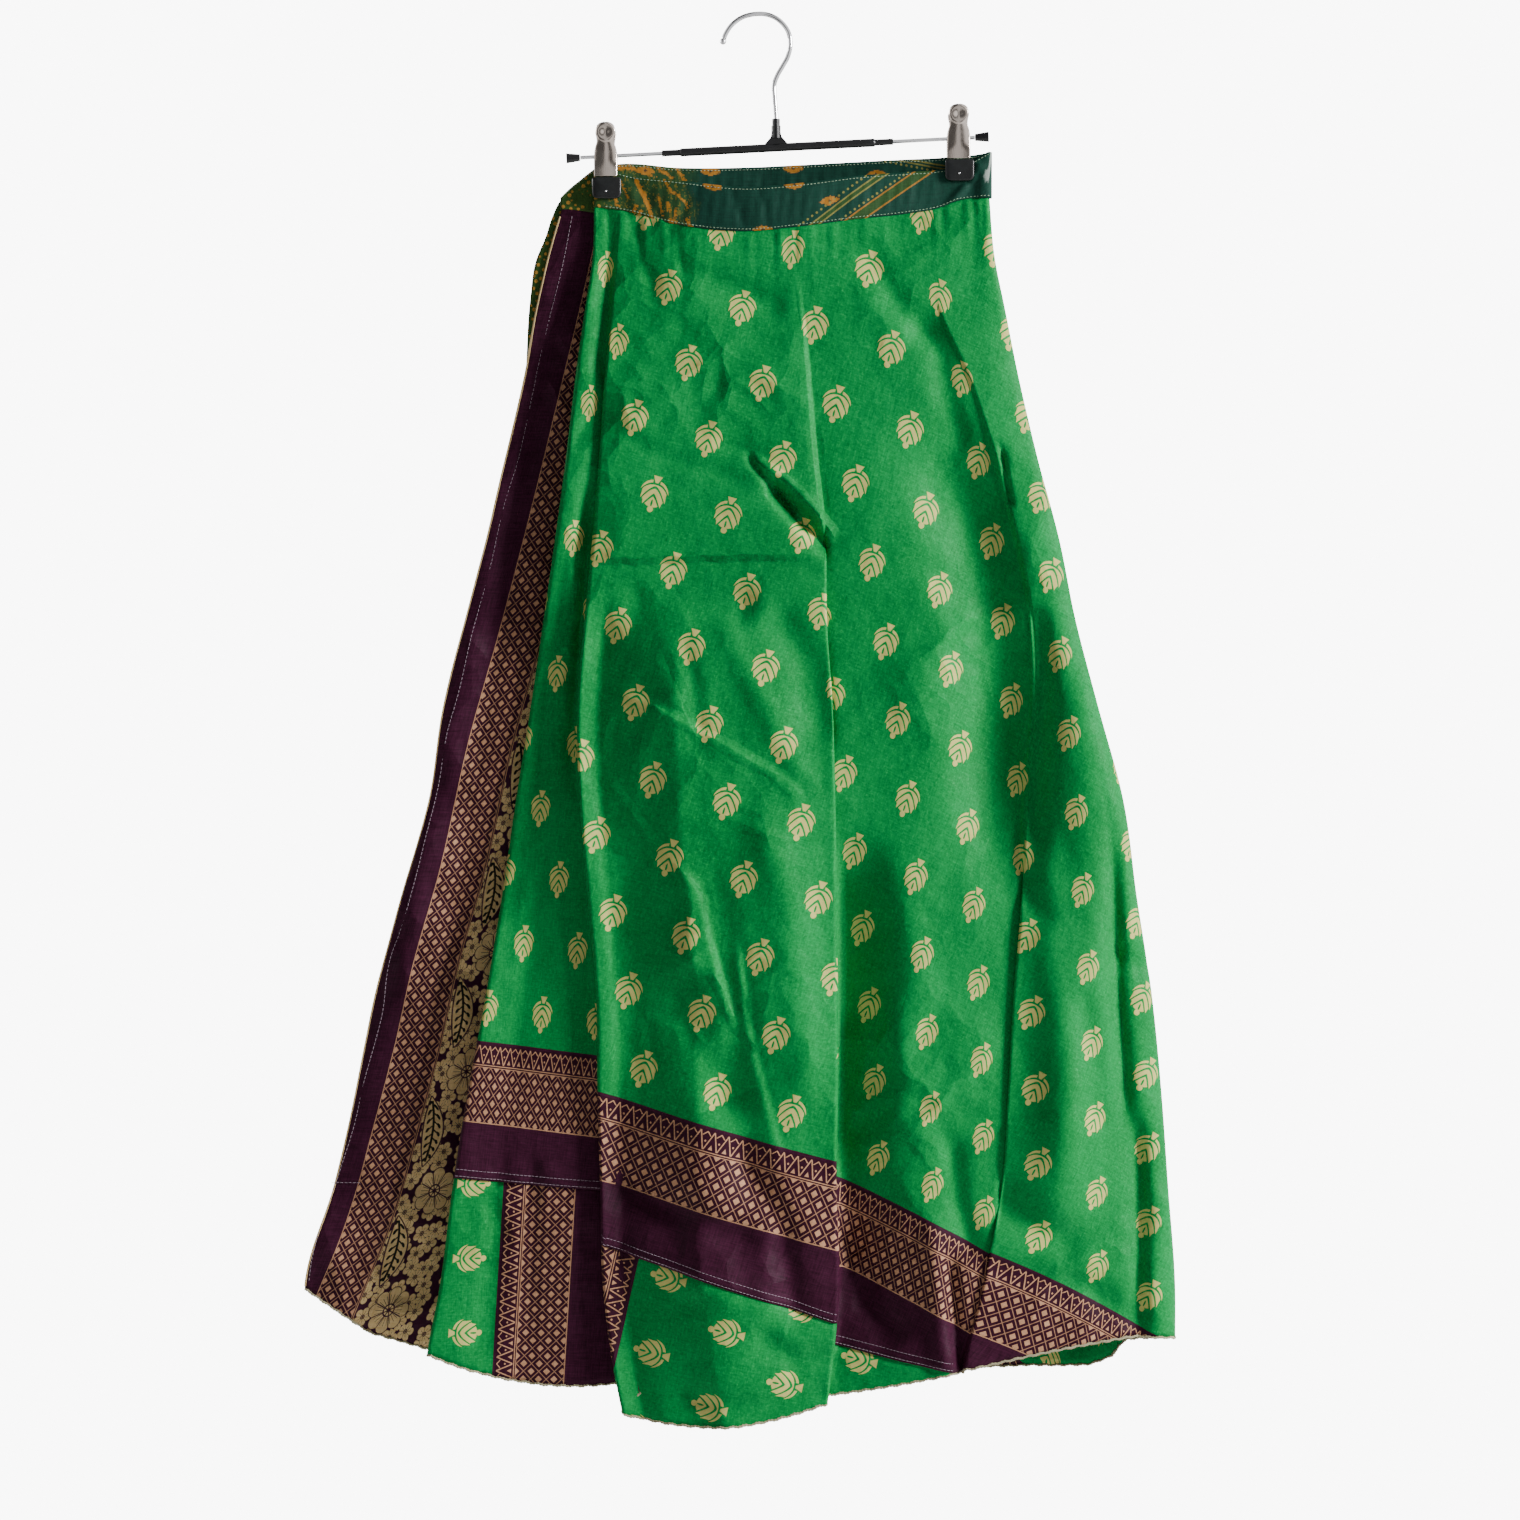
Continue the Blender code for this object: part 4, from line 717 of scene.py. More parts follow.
# The front sheet runs from the underlap round the left fold to the turn at the right side, which lies at the back.
# Its creases are (kind, width, size, points of x and depth), and its cloth coordinates (1, X, D, XX, XD, DD) with X
# and the depth D in 100 mm, fitted to the sprigs' places. B leans back by its share of the way to pleat b, and C by
# the distance from that pleat
acrossPleat = [
    ("trough", 27, 18, [(128, 293), (136, 328), (149, 363), (158, 398), (164, 434), (168, 469), (170, 520), (171, 590),
                        (170, 640)]),
    ("ridge", 28, 14, [(224, 450), (236, 510), (243, 590), (242, 655), (232, 750), (218, 830), (210, 900)]),
]
front = {
    "lines": {"underlap": 9, "leftTurn": 7, "B": 20, "pleatB": 18, "C": 62, "pleatC": 18, "D": 36, "pleatE": 16,
              "E": 16, "F": 14, "turn": 12},
    "rows": 208, "underlap": (60.0, 110.0),
    "lean": {"B": ((0, 0.33, 0.8, 1), (8, 14, 8, 7)), "C": ((0, 15, 72, 125, 175), (3, 10, -9, -5, 0))},
    "cloth": {
        "B": ((124.1, 140.9, 17.4, 0, 0, 0), (-758.0, -12.2, 98.7, 0, 0, 0)),
        "C": ((75.6, 98.4, 21.8, -0.1, -0.3, 0.6), (-774.2, -26.5, 98.4, 1.2, 0.05, -0.4)),
        "D": ((98.6, 80.7, 10.7, 1.0, 4.7, 1.9), (-765.3, -17.0, 94.1, -6.4, -1.6, -0.1)),
        "E": ((144.0, 12.2, 24.7, 25.6, -2.4, 1.8), (-768.7, -7.6, 87.4, -9.3, 0.1, 0.3)),
    },
    "creases": {
        "B": [
            ("trough", 7, 8, [(-124, 366), (-128, 424), (-133, 482), (-137, 540)]),
            ("ridge", 3, 1.7, [(-194, 849), (-198, 881), (-203, 914), (-206, 981)]),
            ("trough", 5, 3.3, [(-190, 849), (-195, 903), (-200, 961)]),
            ("trough", 4, 1.3, [(-134, 206), (-138, 264), (-143, 308)]),
            ("trough", 6, 2.8, [(-164, 845), (-167, 910), (-172, 983)]),
            ("ridge", 5, 2.0, [(-150, 470), (-156, 540), (-164, 610), (-176, 690)]),
        ],
        "C": [
            ("trough", 2.6, 5, [(-5, 325), (8, 341), (20, 355)]),
            ("trough", 6.5, 9.9, [(14, 347), (30, 366), (47, 384)]),
            ("ridge", 4, 2.2, [(-6, 321), (17, 336), (40, 358), (55, 378)]),
            ("crease", 8, 1.7, [(30, 392), (-7, 393), (-58, 395), (-116, 397)]),
            ("trough", 16, 5.1, [(-86, 427), (-51, 423), (-16, 427)]),
            ("crease", 8, 2.2, [(-81, 498), (-34, 524), (15, 551), (29, 562)]),
            ("trough", 16, 7.6, [(-53, 706), (-42, 746), (-27, 784)]),
            ("ridge", 12, 5.1, [(-114, 613), (-111, 663), (-107, 717), (-107, 776)]),
            ("crease", 9, 2.4, [(-56, 619), (-41, 639), (-37, 666), (-26, 702), (-17, 732)]),
            ("ridge", 16, 6.0, [(6, 594), (20, 644), (28, 708), (34, 773)]),
            ("crease", 8, 1.8, [(-12, 693), (-6, 743), (11, 806)]),
            ("trough", 10, 3.1, [(-46, 189), (-20, 199), (7, 210)]),
            ("trough", 6, 1.8, [(-100, 303), (-77, 318), (-26, 334)]),
            ("trough", 4, 1.8, [(-28, 311), (-13, 314), (2, 321)]),
            ("trough", 4, 1.4, [(-59, 158), (-59, 170), (-57, 184)]),
            ("trough", 5, 1.3, [(-90, 155), (-86, 171), (-79, 200)]),
            ("trough", 12, 4.4, [(84, 156), (68, 180), (46, 185)]),
            ("ridge", 10, 2.8, [(-20, 456), (2, 499), (24, 543)]),
            ("trough", 14, 5.1, [(15, 442), (32, 470), (40, 513)]),
            ("trough", 9, 2.8, [(-56, 454), (-49, 490), (-45, 526)]),
            ("trough", 14, 8.5, [(-91, 849), (-55, 867), (-15, 886)]),
            ("trough", 12, 6.8, [(-6, 833), (15, 876), (22, 926)]),
            ("ridge", 14, 5.1, [(-84, 895), (-48, 915), (-3, 933)]),
            ("trough", 10, 4.9, [(4, 959), (28, 974), (52, 971)]),
            ("trough", 12, 5.1, [(-45, 1001), (0, 1008), (42, 997)]),
            ("trough", 14, 5, [(-30, 640), (-22, 700), (-14, 780), (-10, 860)]),
            ("trough", 20, 5, [(-64, 880), (-52, 940), (-44, 1010)]),
        ],
        "D": [
            ("trough", 9, 3.5, [(151, 171), (158, 200), (163, 221)]),
            ("trough", 8, 4.9, [(139, 823), (142, 856), (150, 886)]),
            ("ridge", 9, 6.3, [(124, 879), (127, 910), (130, 947), (134, 980)]),
            ("trough", 5, 6.6, [(137, 904), (139, 932), (141, 952), (146, 981)]),
            ("trough", 14, 6.8, [(65, 891), (79, 929), (95, 951)]),
            ("ridge", 12, 4.2, [(98, 721), (100, 758), (98, 794)]),
            ("trough", 10, 3.1, [(82, 181), (100, 209), (115, 231)]),
            *acrossPleat,
            ("trough", 10, 4, [(120, 222), (130, 246), (136, 280), (144, 310)]),
            ("trough", 32, 14, [(57, 610), (58, 671), (59, 743), (62, 823), (66, 900), (66, 980)]),
            ("ridge", 18, 5, [(100, 610), (106, 660), (109, 714), (109, 787)]),
            ("trough", 10, 2, [(119, 400), (146, 422), (172, 430)]),
        ],
        "E": [
            ("trough", 9, 6.1, [(199, 432), (204, 467), (205, 496), (200, 560), (198, 620)]),
            ("trough", 14, 6.8, [(168, 854), (196, 874), (219, 889)]),
            ("trough", 10, 4.2, [(174, 909), (195, 910), (216, 919)]),
            ("ridge", 14, 5.1, [(203, 614), (210, 686), (216, 759), (219, 823)]),
            ("trough", 10, 4.2, [(173, 606), (191, 630), (202, 652)]),
            ("trough", 6, 5.5, [(256, 605), (257, 668), (258, 714), (263, 758), (265, 794)]),
            ("trough", 6, 6.6, [(273, 809), (275, 845), (276, 888), (275, 946)]),
            ("trough", 9, 4.9, [(257, 679), (269, 685), (276, 693)]),
            ("crease", 6, 1.5, [(183, 801), (203, 796), (219, 791)]),
            ("trough", 2.2, 4.4, [(176, 320), (178, 335), (181, 350)]),
            ("trough", 9, 4.2, [(235, 722), (240, 759), (242, 794)]),
            ("trough", 8, 3.5, [(226, 914), (244, 925), (262, 942)]),
            *acrossPleat,
        ],
    },
}
parts, lineCount = {}, 0  # which of the sheet's lines each part has
for name, count in front["lines"].items():
    parts[name] = slice(lineCount, lineCount + count)
    lineCount += count


def pleatLines(name, depth):
    # a pleat's lines at each depth, low layer first: two half circles of radius r, joined by a flat run
    count = len(depth)
    steps, overlaps = (np.interp(depth, pleats[name][0], pleats[name][k]) for k in (1, 2))
    r = skirt["pleatRadius"]
    half = count // 2
    angle = np.concatenate((np.linspace(0, math.pi, half), np.linspace(0, math.pi, count - half)))[:, None]
    isLow = (np.arange(count) < half)[:, None]
    reach = np.maximum(overlaps, 2.0 * r)
    folded = np.where(isLow, reach - r + r * np.sin(angle), r - r * np.sin(angle))
    opened = np.linspace(-1.0, 1.0, count)[:, None] * skirt["pleatOpen"] * r
    share = np.clip(overlaps / (2.0 * r), 0.0, 1.0)
    heights = np.where(isLow, 3.0 * r + r * np.cos(angle), r + r * np.cos(angle))
    ramp = 4.0 * r * (1.0 - smooth(np.linspace(0.0, 1.0, count)[:, None]))
    return (1.0 - share) * opened + share * folded, ((1.0 - share) * ramp + share * heights) * steps


def pleatEnd(name, side, low, depth):
    # where a panel meets its pleat: the pleat's line, plus its first offset and half of the run of the half circle
    overlap = np.interp(depth, pleats[name][0], pleats[name][2])
    r = skirt["pleatRadius"]
    share = np.clip(overlap / (2.0 * r), 0.0, 1.0)
    folded = np.maximum(overlap, 2.0 * r) - r if low else r
    start = (1.0 - share) * (-1.0 if low else 1.0) * skirt["pleatOpen"] * r + share * folded
    away = (-3.2 if low else 3.2) * r * (1.0 - 0.5 * smooth((overlap - r) / (2.0 * r)))
    return line(name, depth) + side * (start + away * 0.5)


def pleatStep(name, depth):
    # how far behind the upper layer the lower one lies: four radii times the opening
    return 4.0 * skirt["pleatRadius"] * np.interp(depth, pleats[name][0], pleats[name][1])


def leftRadius(depth):
    # the left fold's radius: from 1.3 to 2.7 mm over 200 mm
    return 1.3 + 1.4 * smooth((depth - 145.0) / 200.0)


def creaseLow(depth):
    # crease f lies up to 5 mm back below 520 mm
    return 5.0 * smooth((depth - 520.0) / 150.0)


def frontPlace(depth):
    # x and y of every line of the sheet at its depths, and how far it reaches beyond the left fold
    x, y, low, beyond = (np.zeros_like(depth) for _ in range(4))

    rows = parts["underlap"]
    d = depth[rows]
    share = np.linspace(1.0, 0.06, front["lines"]["underlap"])[:, None] ** 1.15
    r = leftRadius(d)
    atTop, atHem = front["underlap"]
    width = atTop + (atHem - atTop) * (d - skirt["top"]) / skirt["long"]
    x[rows] = line("left", d) + r + share * width
    behind = pleatStep("b", d) * smooth(share / 0.45) + 0.8 * smooth(share / 0.3) * smooth((d - 145.0) / 90.0)
    y[rows] = frontY(x[rows], d) + 2.0 * r + behind
    beyond[rows] = math.pi * r + share * width

    rows = parts["leftTurn"]
    d = depth[rows]
    angle = np.linspace(0.0, math.pi, front["lines"]["leftTurn"])[:, None]
    r = leftRadius(d)
    middle = line("left", d) + r
    x[rows] = middle - r * np.sin(angle)
    y[rows] = frontY(middle, d) + r + r * np.cos(angle)
    beyond[rows] = r * (math.pi - angle)

    def panel(name, left, right, lowLeft, lowRight, shares):
        # lines spread by their shares from left to right, lying back at the sides by share^3 and share^1.6
        rows = parts[name]
        d = depth[rows]
        share = shares[:, None]
        start = left(d)
        x[rows] = start + share * (right(d) - start)
        low[rows] = lowLeft(d) * (1.0 - share) ** 3.0 + lowRight(d) * share**1.6

    def level(d):
        # not back at all
        return 0.0 * d

    def even(name, first=0.0, last=1.0):
        # equal steps for a part's lines
        return np.linspace(first, last, front["lines"][name])

    panel("B", lambda d: line("left", d) + leftRadius(d), lambda d: pleatEnd("b", 1, True, d), level,
          lambda d: pleatStep("b", d), even("B", 0.04))
    panel("C", lambda d: pleatEnd("b", 1, False, d), lambda d: pleatEnd("c", -1, False, d), level, level, even("C"))
    panel("D", lambda d: pleatEnd("c", -1, True, d), lambda d: pleatEnd("e", 1, True, d),
          lambda d: pleatStep("c", d), lambda d: pleatStep("e", d), even("D"))
    panel("E", lambda d: pleatEnd("e", 1, False, d), lambda d: line("f", d), level, creaseLow, even("E", 0.0, 0.94))
    panel("F", lambda d: line("f", d), lambda d: line("right", d), creaseLow, level,
          np.sin(even("F", 0.0, math.pi / 2.0)))
    for name, key, side in (("pleatB", "b", 1), ("pleatC", "c", -1), ("pleatE", "e", 1)):
        rows = parts[name]
        offsets, heights = pleatLines(key, depth[rows][::side])
        x[rows] = (line(key, depth[rows][::side]) + side * offsets)[::side]
        low[rows] = heights[::side]
    shown = slice(parts["B"].start, parts["F"].stop)
    y[shown] = frontY(x[shown], depth[shown]) + low[shown]
    rows = parts["turn"]
    d = depth[rows]
    share = (np.cos(np.linspace(0.35, math.pi, front["lines"]["turn"]))[:, None] + 1.0) / 2.0
    share = skirt["sideSeam"] + (0.97 - skirt["sideSeam"]) * share / ((math.cos(0.35) + 1.0) / 2.0)
    x[rows] = line("f", d) + share * (line("right", d) - line("f", d))
    y[rows] = backY(x[rows], d)
    return x, y, beyond


def through(values, share):
    # the parabola through three depths: at the left, in the middle and at the right
    left, middle, right = values
    return left + (right - left) * share + 4.0 * (middle - 0.5 * (left + right)) * share * (1.0 - share)


def frontEdges():
    # the depth of the selvedge and of the hem on each line; no selvedge where there is no joined piece. In a pleat
    # they go straight from the lower panel's end to the upper panel's, mostly between its two half circles
    selvedge, hem = np.full(lineCount, np.nan), np.full(lineCount, np.nan)
    for name, panel, first, last in (("underlap", "B", 0.0, 0.0), ("leftTurn", "B", 0.0, 0.0), ("B", "B", 0.04, 1.0),
                                     ("C", "C", 0.0, 1.0), ("D", "D", 0.0, 1.0), ("E", "E", 0.0, 1.0),
                                     ("F", "F", 0.0, 1.0)):
        share = np.linspace(first, last, front["lines"][name])
        hem[parts[name]] = through(skirt["hem"][panel], share)
        if panel in skirt["selvedge"]:
            selvedge[parts[name]] = through(skirt["selvedge"][panel], share)
    for name, low, high, side in (("pleatB", "B", "C", 1), ("pleatC", "D", "C", -1), ("pleatE", "D", "E", 1)):
        count = front["lines"][name]
        half = count // 2
        part = np.concatenate((np.linspace(0.0, 0.18, half), np.linspace(0.82, 1.0, count - half)))[::side]
        for edge, table in ((hem, skirt["hem"]), (selvedge, skirt["selvedge"])):
            if high in table:
                fromLow = through(table[low], 1.0 if side > 0 else 0.0)
                fromHigh = through(table[high], 0.0 if side > 0 else 1.0)
                edge[parts[name]] = fromLow + (fromHigh - fromLow) * part
    hem[parts["underlap"]] -= np.linspace(5.0, 1.0, front["lines"]["underlap"])
    return np.where(hem - selvedge > 1.0, selvedge, np.nan), hem


def clothOf(name, x, depth):
    # a panel's cloth coordinates: second powers of x and the depth, in 100 mm, times its rows
    across, down = x / 100.0, depth / 100.0
    terms = np.stack((np.ones_like(across), across, down, across * across, across * down, down * down))
    return [np.tensordot(np.array(row, float), terms, 1) for row in front["cloth"][name]]


def panelShares():
    # whether each line lies past pleats b, c and e: a pleat's low half belongs to one panel, its high half to the next
    passed = np.zeros((3, lineCount))
    for k, name in enumerate(("pleatB", "pleatC", "pleatE")):
        rows = parts[name]
        count = rows.stop - rows.start
        passed[k, rows.stop:] = 1.0
        passed[k, rows] = smooth((np.arange(count) - count / 2.0 + 2.0) / 4.0)
    return passed


# where the sheet starts under the band and ends at the hem; x depends on the depth, so both settle in a few turns
topDepth = np.full((lineCount, 1), skirt["top"])
turnDepth = np.full((lineCount, 1), 960.0)
for _ in range(5):
    x, y, beyond = frontPlace(topDepth)
    topDepth = band("frontBottom", x) + skirt["bandGap"]
    topDepth[parts["turn"]] = backBottom(x[parts["turn"]]) + skirt["bandGap"]
    x, y, beyond = frontPlace(turnDepth)
    turnDepth = np.interp(x, skirt["backHemX"], skirt["backHem"])
selvedge, hem = frontEdges()
hem[parts["turn"]] = turnDepth[parts["turn"], 0]
joined = ~np.isnan(selvedge)
endDepth = np.where(joined, selvedge, hem)[:, None]
passed = panelShares()


def frontSurface(depth):
    # the front with its creases, and its cloth coordinates: each panel's creases and lean count on its own side of
    # the pleats, and its cloth coordinates go over into the next panel's across a pleat
    x, y, beyond = frontPlace(depth)
    b, c, e = (smooth((x - line(name, depth) + 1.5) / 3.0) for name in ("b", "c", "e"))
    weights = {"B": 1.0 - b, "C": b * (1.0 - c), "D": c * (1.0 - e), "E": e}
    out = np.zeros_like(x)
    for name, weight in weights.items():
        out += weight * addCreases(x, depth, front["creases"][name])
    left = line("left", depth)
    part = np.clip((x - left) / (line("b", depth) - left), 0.0, 1.0)
    high = 1.0 - smooth((depth - 620.0) / 80.0)
    back = np.interp(part, *front["lean"]["B"]) + 9.0 * high * np.clip(1.0 - part / 0.6, 0.0, 1.0)
    out -= weights["B"] * smooth((depth - 360.0) / 140.0) * back
    back = np.interp(x - line("b", depth), *front["lean"]["C"])
    out -= weights["C"] * smooth((depth - 385.0) / 90.0) * back
    fade = np.ones((lineCount, 1))
    fade[parts["turn"], 0] = np.linspace(0.4, 0.0, front["lines"]["turn"])
    under = depth - topDepth  # how far below the band
    y = y - out * fade * smooth(under / 12.0)
    hidden = parts["underlap"]
    y[hidden] = np.minimum(y[hidden], backY(x[hidden], depth[hidden]) - 2.5)
    # gathers just under the waistband: short uneven folds that die out within 60 mm
    gather = 0.55 * np.sin(x * 0.42 + 1.7 * np.sin(x * 0.09)) + 0.35 * np.sin(x * 0.83 + 2.0)
    uneven = 0.4 + 0.6 * smooth(np.sin(x * 0.05) + 0.4)
    y = y - gather * np.exp(-((under / 26.0) ** 2)) * smooth(under / 5.0) * fade * uneven
    wide = (smooth((depth - 250.0) / 60.0), smooth((depth - 370.0) / 40.0), smooth((depth - 600.0) / 60.0))
    across = [smooth((x - line(name, depth) + 14.0) / 28.0) for name in ("b", "c", "e")]
    b, c, e = (across[k] + (passed[k][:, None] - across[k]) * wide[k] for k in range(3))
    flatX = np.where(beyond > 0.0, line("left", depth) + leftRadius(depth), x)
    side = slice(parts["F"].start, parts["turn"].stop)
    flatX[side] = line("f", depth[side])
    arc = np.zeros_like(x)
    steps = np.hypot(np.diff(x[side], axis=0), np.diff(y[side], axis=0))
    arc[side] = np.vstack((np.zeros_like(steps[:1]), np.cumsum(steps, axis=0)))
    maps = {name: clothOf(name, flatX, depth) for name in front["cloth"]}
    uv = []
    for k in range(2):
        left = maps["B"][k] + (maps["C"][k] - maps["B"][k]) * b
        right = maps["D"][k] + (maps["E"][k] - maps["D"][k]) * e
        uv.append(left + (right - left) * c)
    uv[0] = uv[0] - 0.99 * beyond + 0.88 * arc
    uv[1] = uv[1] + 0.15 * beyond - 0.47 * arc
    return x, y, uv


share = np.linspace(0.0, 1.0, front["rows"])[None, :] ** 1.05
frontDepths = topDepth + (endDepth - topDepth) * share
frontX, frontYs, frontUv = frontSurface(frontDepths)
frontCloth = sheetMesh("front_panel_silk", frontX, frontYs, frontDepths, frontUv, greenSilk, skirt["wall"])
dress(frontCloth, "front_panel")
print("front sheet made")

# the piece that lengthens the front below its selvedge, cut with the border upright. It lies just behind the front's
# selvedge, and its cloth coordinates are turned: (s, t) on B, and on C and D along the slanting selvedge
lower = {"rows": 30, "under": 3.0, "tuck": 1.25}
picked = np.where(joined)[0]
lowerStart = np.where(joined, selvedge - lower["under"], 900.0)[:, None]
lowerHem = np.where(joined, hem, 960.0)[:, None]
lowerDepths = lowerStart + (lowerHem - lowerStart) * np.linspace(0.0, 1.0, lower["rows"])[None, :]
lowerX, lowerY, lowerUv = frontSurface(lowerDepths)
tuck = lower["tuck"] * (1.0 - smooth((lowerDepths - selvedge[:, None]) / 6.0))
lowerY = lowerY + np.nan_to_num(tuck)
isLeft = 1.0 - passed[0][:, None] + 0.0 * lowerX
leftT = 1.12 * (lowerX + 185.9 + 0.0596 * (lowerDepths - 852.2))
leftS = 1.04 * lowerDepths - 12.0
rightT = -0.975 * (lowerX + 87.8 + 0.2275 * (lowerDepths - 902.2))
rightS = -0.222 * (lowerX + 87.8) + 0.975 * (lowerDepths - 902.2) + 23.2
lowerUv = [leftS * isLeft + rightS * (1.0 - isLeft), leftT * isLeft + rightT * (1.0 - isLeft)]
frontLower = sheetMesh("front_lower_silk", lowerX[picked], lowerY[picked], lowerDepths[picked],
                       [part[picked] for part in lowerUv], greenSilk, skirt["wall"])
dress(frontLower, "front_lower_panel")
print("front's lower piece made")

# the back layer, and the panel with the free wrap edge; the lattice's line is where the border's lattice begins
back = {
    "lines": 128, "rows": 170, "gaps": (0.3, -2.5),
    "creases": [
        ("trough", 11, 7, [(30, 180), (42, 300), (60, 440), (70, 600)]),
        ("ridge", 13, 6, [(-30, 240), (-50, 420), (-62, 640), (-70, 900)]),
        ("trough", 15, 10, [(-95, 300), (-110, 500), (-120, 720), (-128, 960)]),
        ("trough", 9, 6, [(110, 210), (135, 380), (150, 560), (158, 760)]),
        ("ridge", 11, 5, [(150, 500), (182, 700), (196, 960)]),
        ("trough", 13, 9, [(10, 560), (20, 720), (24, 960)]),
        ("crease", 7, 2.6, [(-60, 420), (0, 404), (90, 410)]),
        ("crease", 7, 2.4, [(40, 620), (80, 590), (120, 600)]),
        ("crease", 7, 2.2, [(-20, 300), (10, 330), (34, 372)]),
        ("trough", 17, 7, [(70, 700), (95, 820), (100, 960)]),
        ("trough", 6, 2.4, [(-40, 160), (-44, 200), (-50, 250)]),
        ("trough", 6, 2.2, [(80, 155), (84, 200), (92, 240)]),
        ("ridge", 8, 3, [(-10, 700), (-30, 760), (-58, 830)]),
    ],
}
wrap = {
    "lines": 56, "rows": 200, "gaps": (0.0, -2.0),
    "lattice": {
        "depth": (130, 194, 267, 345, 442, 525, 625, 686, 753, 816, 851, 888, 925, 960),
        "x": (-113, -127, -144.5, -163.4, -188.8, -212, -234.5, -251.9, -267.2, -283.9, -293.3, -305.6, -321, -335),
    },
    "creases": [
        ("ridge", 9, 2.2, [(-178, 300), (-205, 430), (-232, 560), (-262, 700)]),
        ("trough", 10, 2.6, [(-160, 260), (-186, 420), (-214, 600), (-238, 760), (-262, 930)]),
        ("trough", 8, 2.0, [(-250, 560), (-275, 690), (-300, 800)]),
        ("ridge", 8, 1.8, [(-236, 690), (-258, 800), (-282, 900)]),
        ("crease", 5, 1.0, [(-318, 860), (-290, 852), (-262, 850)]),
        ("trough", 6, 1.4, [(-140, 170), (-146, 210), (-156, 260)]),
    ],
    "stitchLine": {
        "depth": (141, 175, 218, 246, 281, 329, 354, 399, 444, 494, 519, 561, 599, 631, 665, 682, 726, 756, 780, 803,
                  838, 877, 903, 925),
        "x": (-135.8, -142.3, -152.8, -159.7, -167, -178.1, -185.9, -196, -208.4, -220, -227.2, -234.5, -243.9,
              -251.9, -262.1, -268.6, -275.2, -283.1, -289.7, -294.8, -305.6, -318.7, -326, -329),
    },
}


def backGrid(piece, left, right):
    # a grid from the band's lower edge to the hem, between two lines that may depend on the depth
    share = np.linspace(0.0, 1.0, piece["lines"])[:, None]
    leftGap, rightGap = piece["gaps"]

    def place(depth):
        # x at equal steps from the left line to the right one
        start = left(depth) + leftGap
        return start + share * (right(depth) - rightGap - start)

    top = np.full((piece["lines"], 1), skirt["top"])
    end = np.full((piece["lines"], 1), 980.0)
    for _ in range(5):
        top = backBottom(place(top)) + skirt["bandGap"]
        end = np.interp(place(end), skirt["backHemX"], skirt["backHem"])
    depth = top + (end - top) * np.linspace(0.0, 1.0, piece["rows"])[None, :] ** 1.05
    x = place(depth)
    return x, backY(x, depth), depth, top


def wrapLine(depth):
    # the free edge
    return line("wrap", depth)


def seamLine(depth):
    # the seam between the wrap-edge panel and the back, a fixed way to the right of the front's left fold
    return line("left", depth) + skirt["wrapUnder"]


def sideSeamLine(depth):
    # where the front sheet's turn ends, a share of the way from crease f to the right side
    return line("f", depth) + skirt["sideSeam"] * (line("right", depth) - line("f", depth))


def wrapSway(x, depth):
    # how far the panel swings to the back: its folds, and the free edge wandering to and fro
    edgeShare = smooth((x - wrapLine(depth)) / 40.0)
    wander = 1.6 * np.sin(depth / 21.0) + 1.1 * np.sin(depth / 9.7 + 1.0)
    folds = -addCreases(x, depth, wrap["creases"]) * smooth((seamLine(depth) - x) / 30.0)
    return (folds + (1.0 - edgeShare) * wander) * smooth((depth - 150.0) / 80.0)


def tucked(x, seam):
    # 1.1 mm forward along a seam, where the panel lies under the next one
    return 1.1 * smooth((x - seam + 3.0) / 4.0)


wrapX, wrapY, wrapDepths, _ = backGrid(wrap, wrapLine, seamLine)
wrapY = wrapY + wrapSway(wrapX, wrapDepths) - tucked(wrapX, seamLine(wrapDepths))
toLattice = wrapX - read(wrap["lattice"], "x", wrapDepths)
wrapUv = (1.035 * wrapDepths, 58.7 - 1.26 * toLattice)
wrapCloth = sheetMesh("wrap_edge_silk", wrapX, wrapY, wrapDepths, wrapUv, plumSilk, skirt["wall"])
dress(wrapCloth, "wrap_edge_panel")

backX, backYs, backDepths, backTopDepth = backGrid(back, seamLine, sideSeamLine)
backFold = addCreases(backX, backDepths, back["creases"]) * smooth((backDepths - backTopDepth) / 14.0)
backRim = smooth((backX - seamLine(backDepths)) / 6.0) * smooth((sideSeamLine(backDepths) - backX) / 6.0)
backYs = backYs + backFold * backRim - tucked(backX, sideSeamLine(backDepths))
backT = 0.978 * (backDepths - 970.0 - 0.96 * np.maximum(backX - 181.0, 0.0))
backS = 0.978 * (backX - 190.0) + 0.21 * (backDepths - 983.0) + 10.0
backCloth = sheetMesh("back_panel_silk", backX, backYs, backDepths, (backS, backT), greenSilk, skirt["wall"])
dress(backCloth, "back_panel")
print("back layer made")

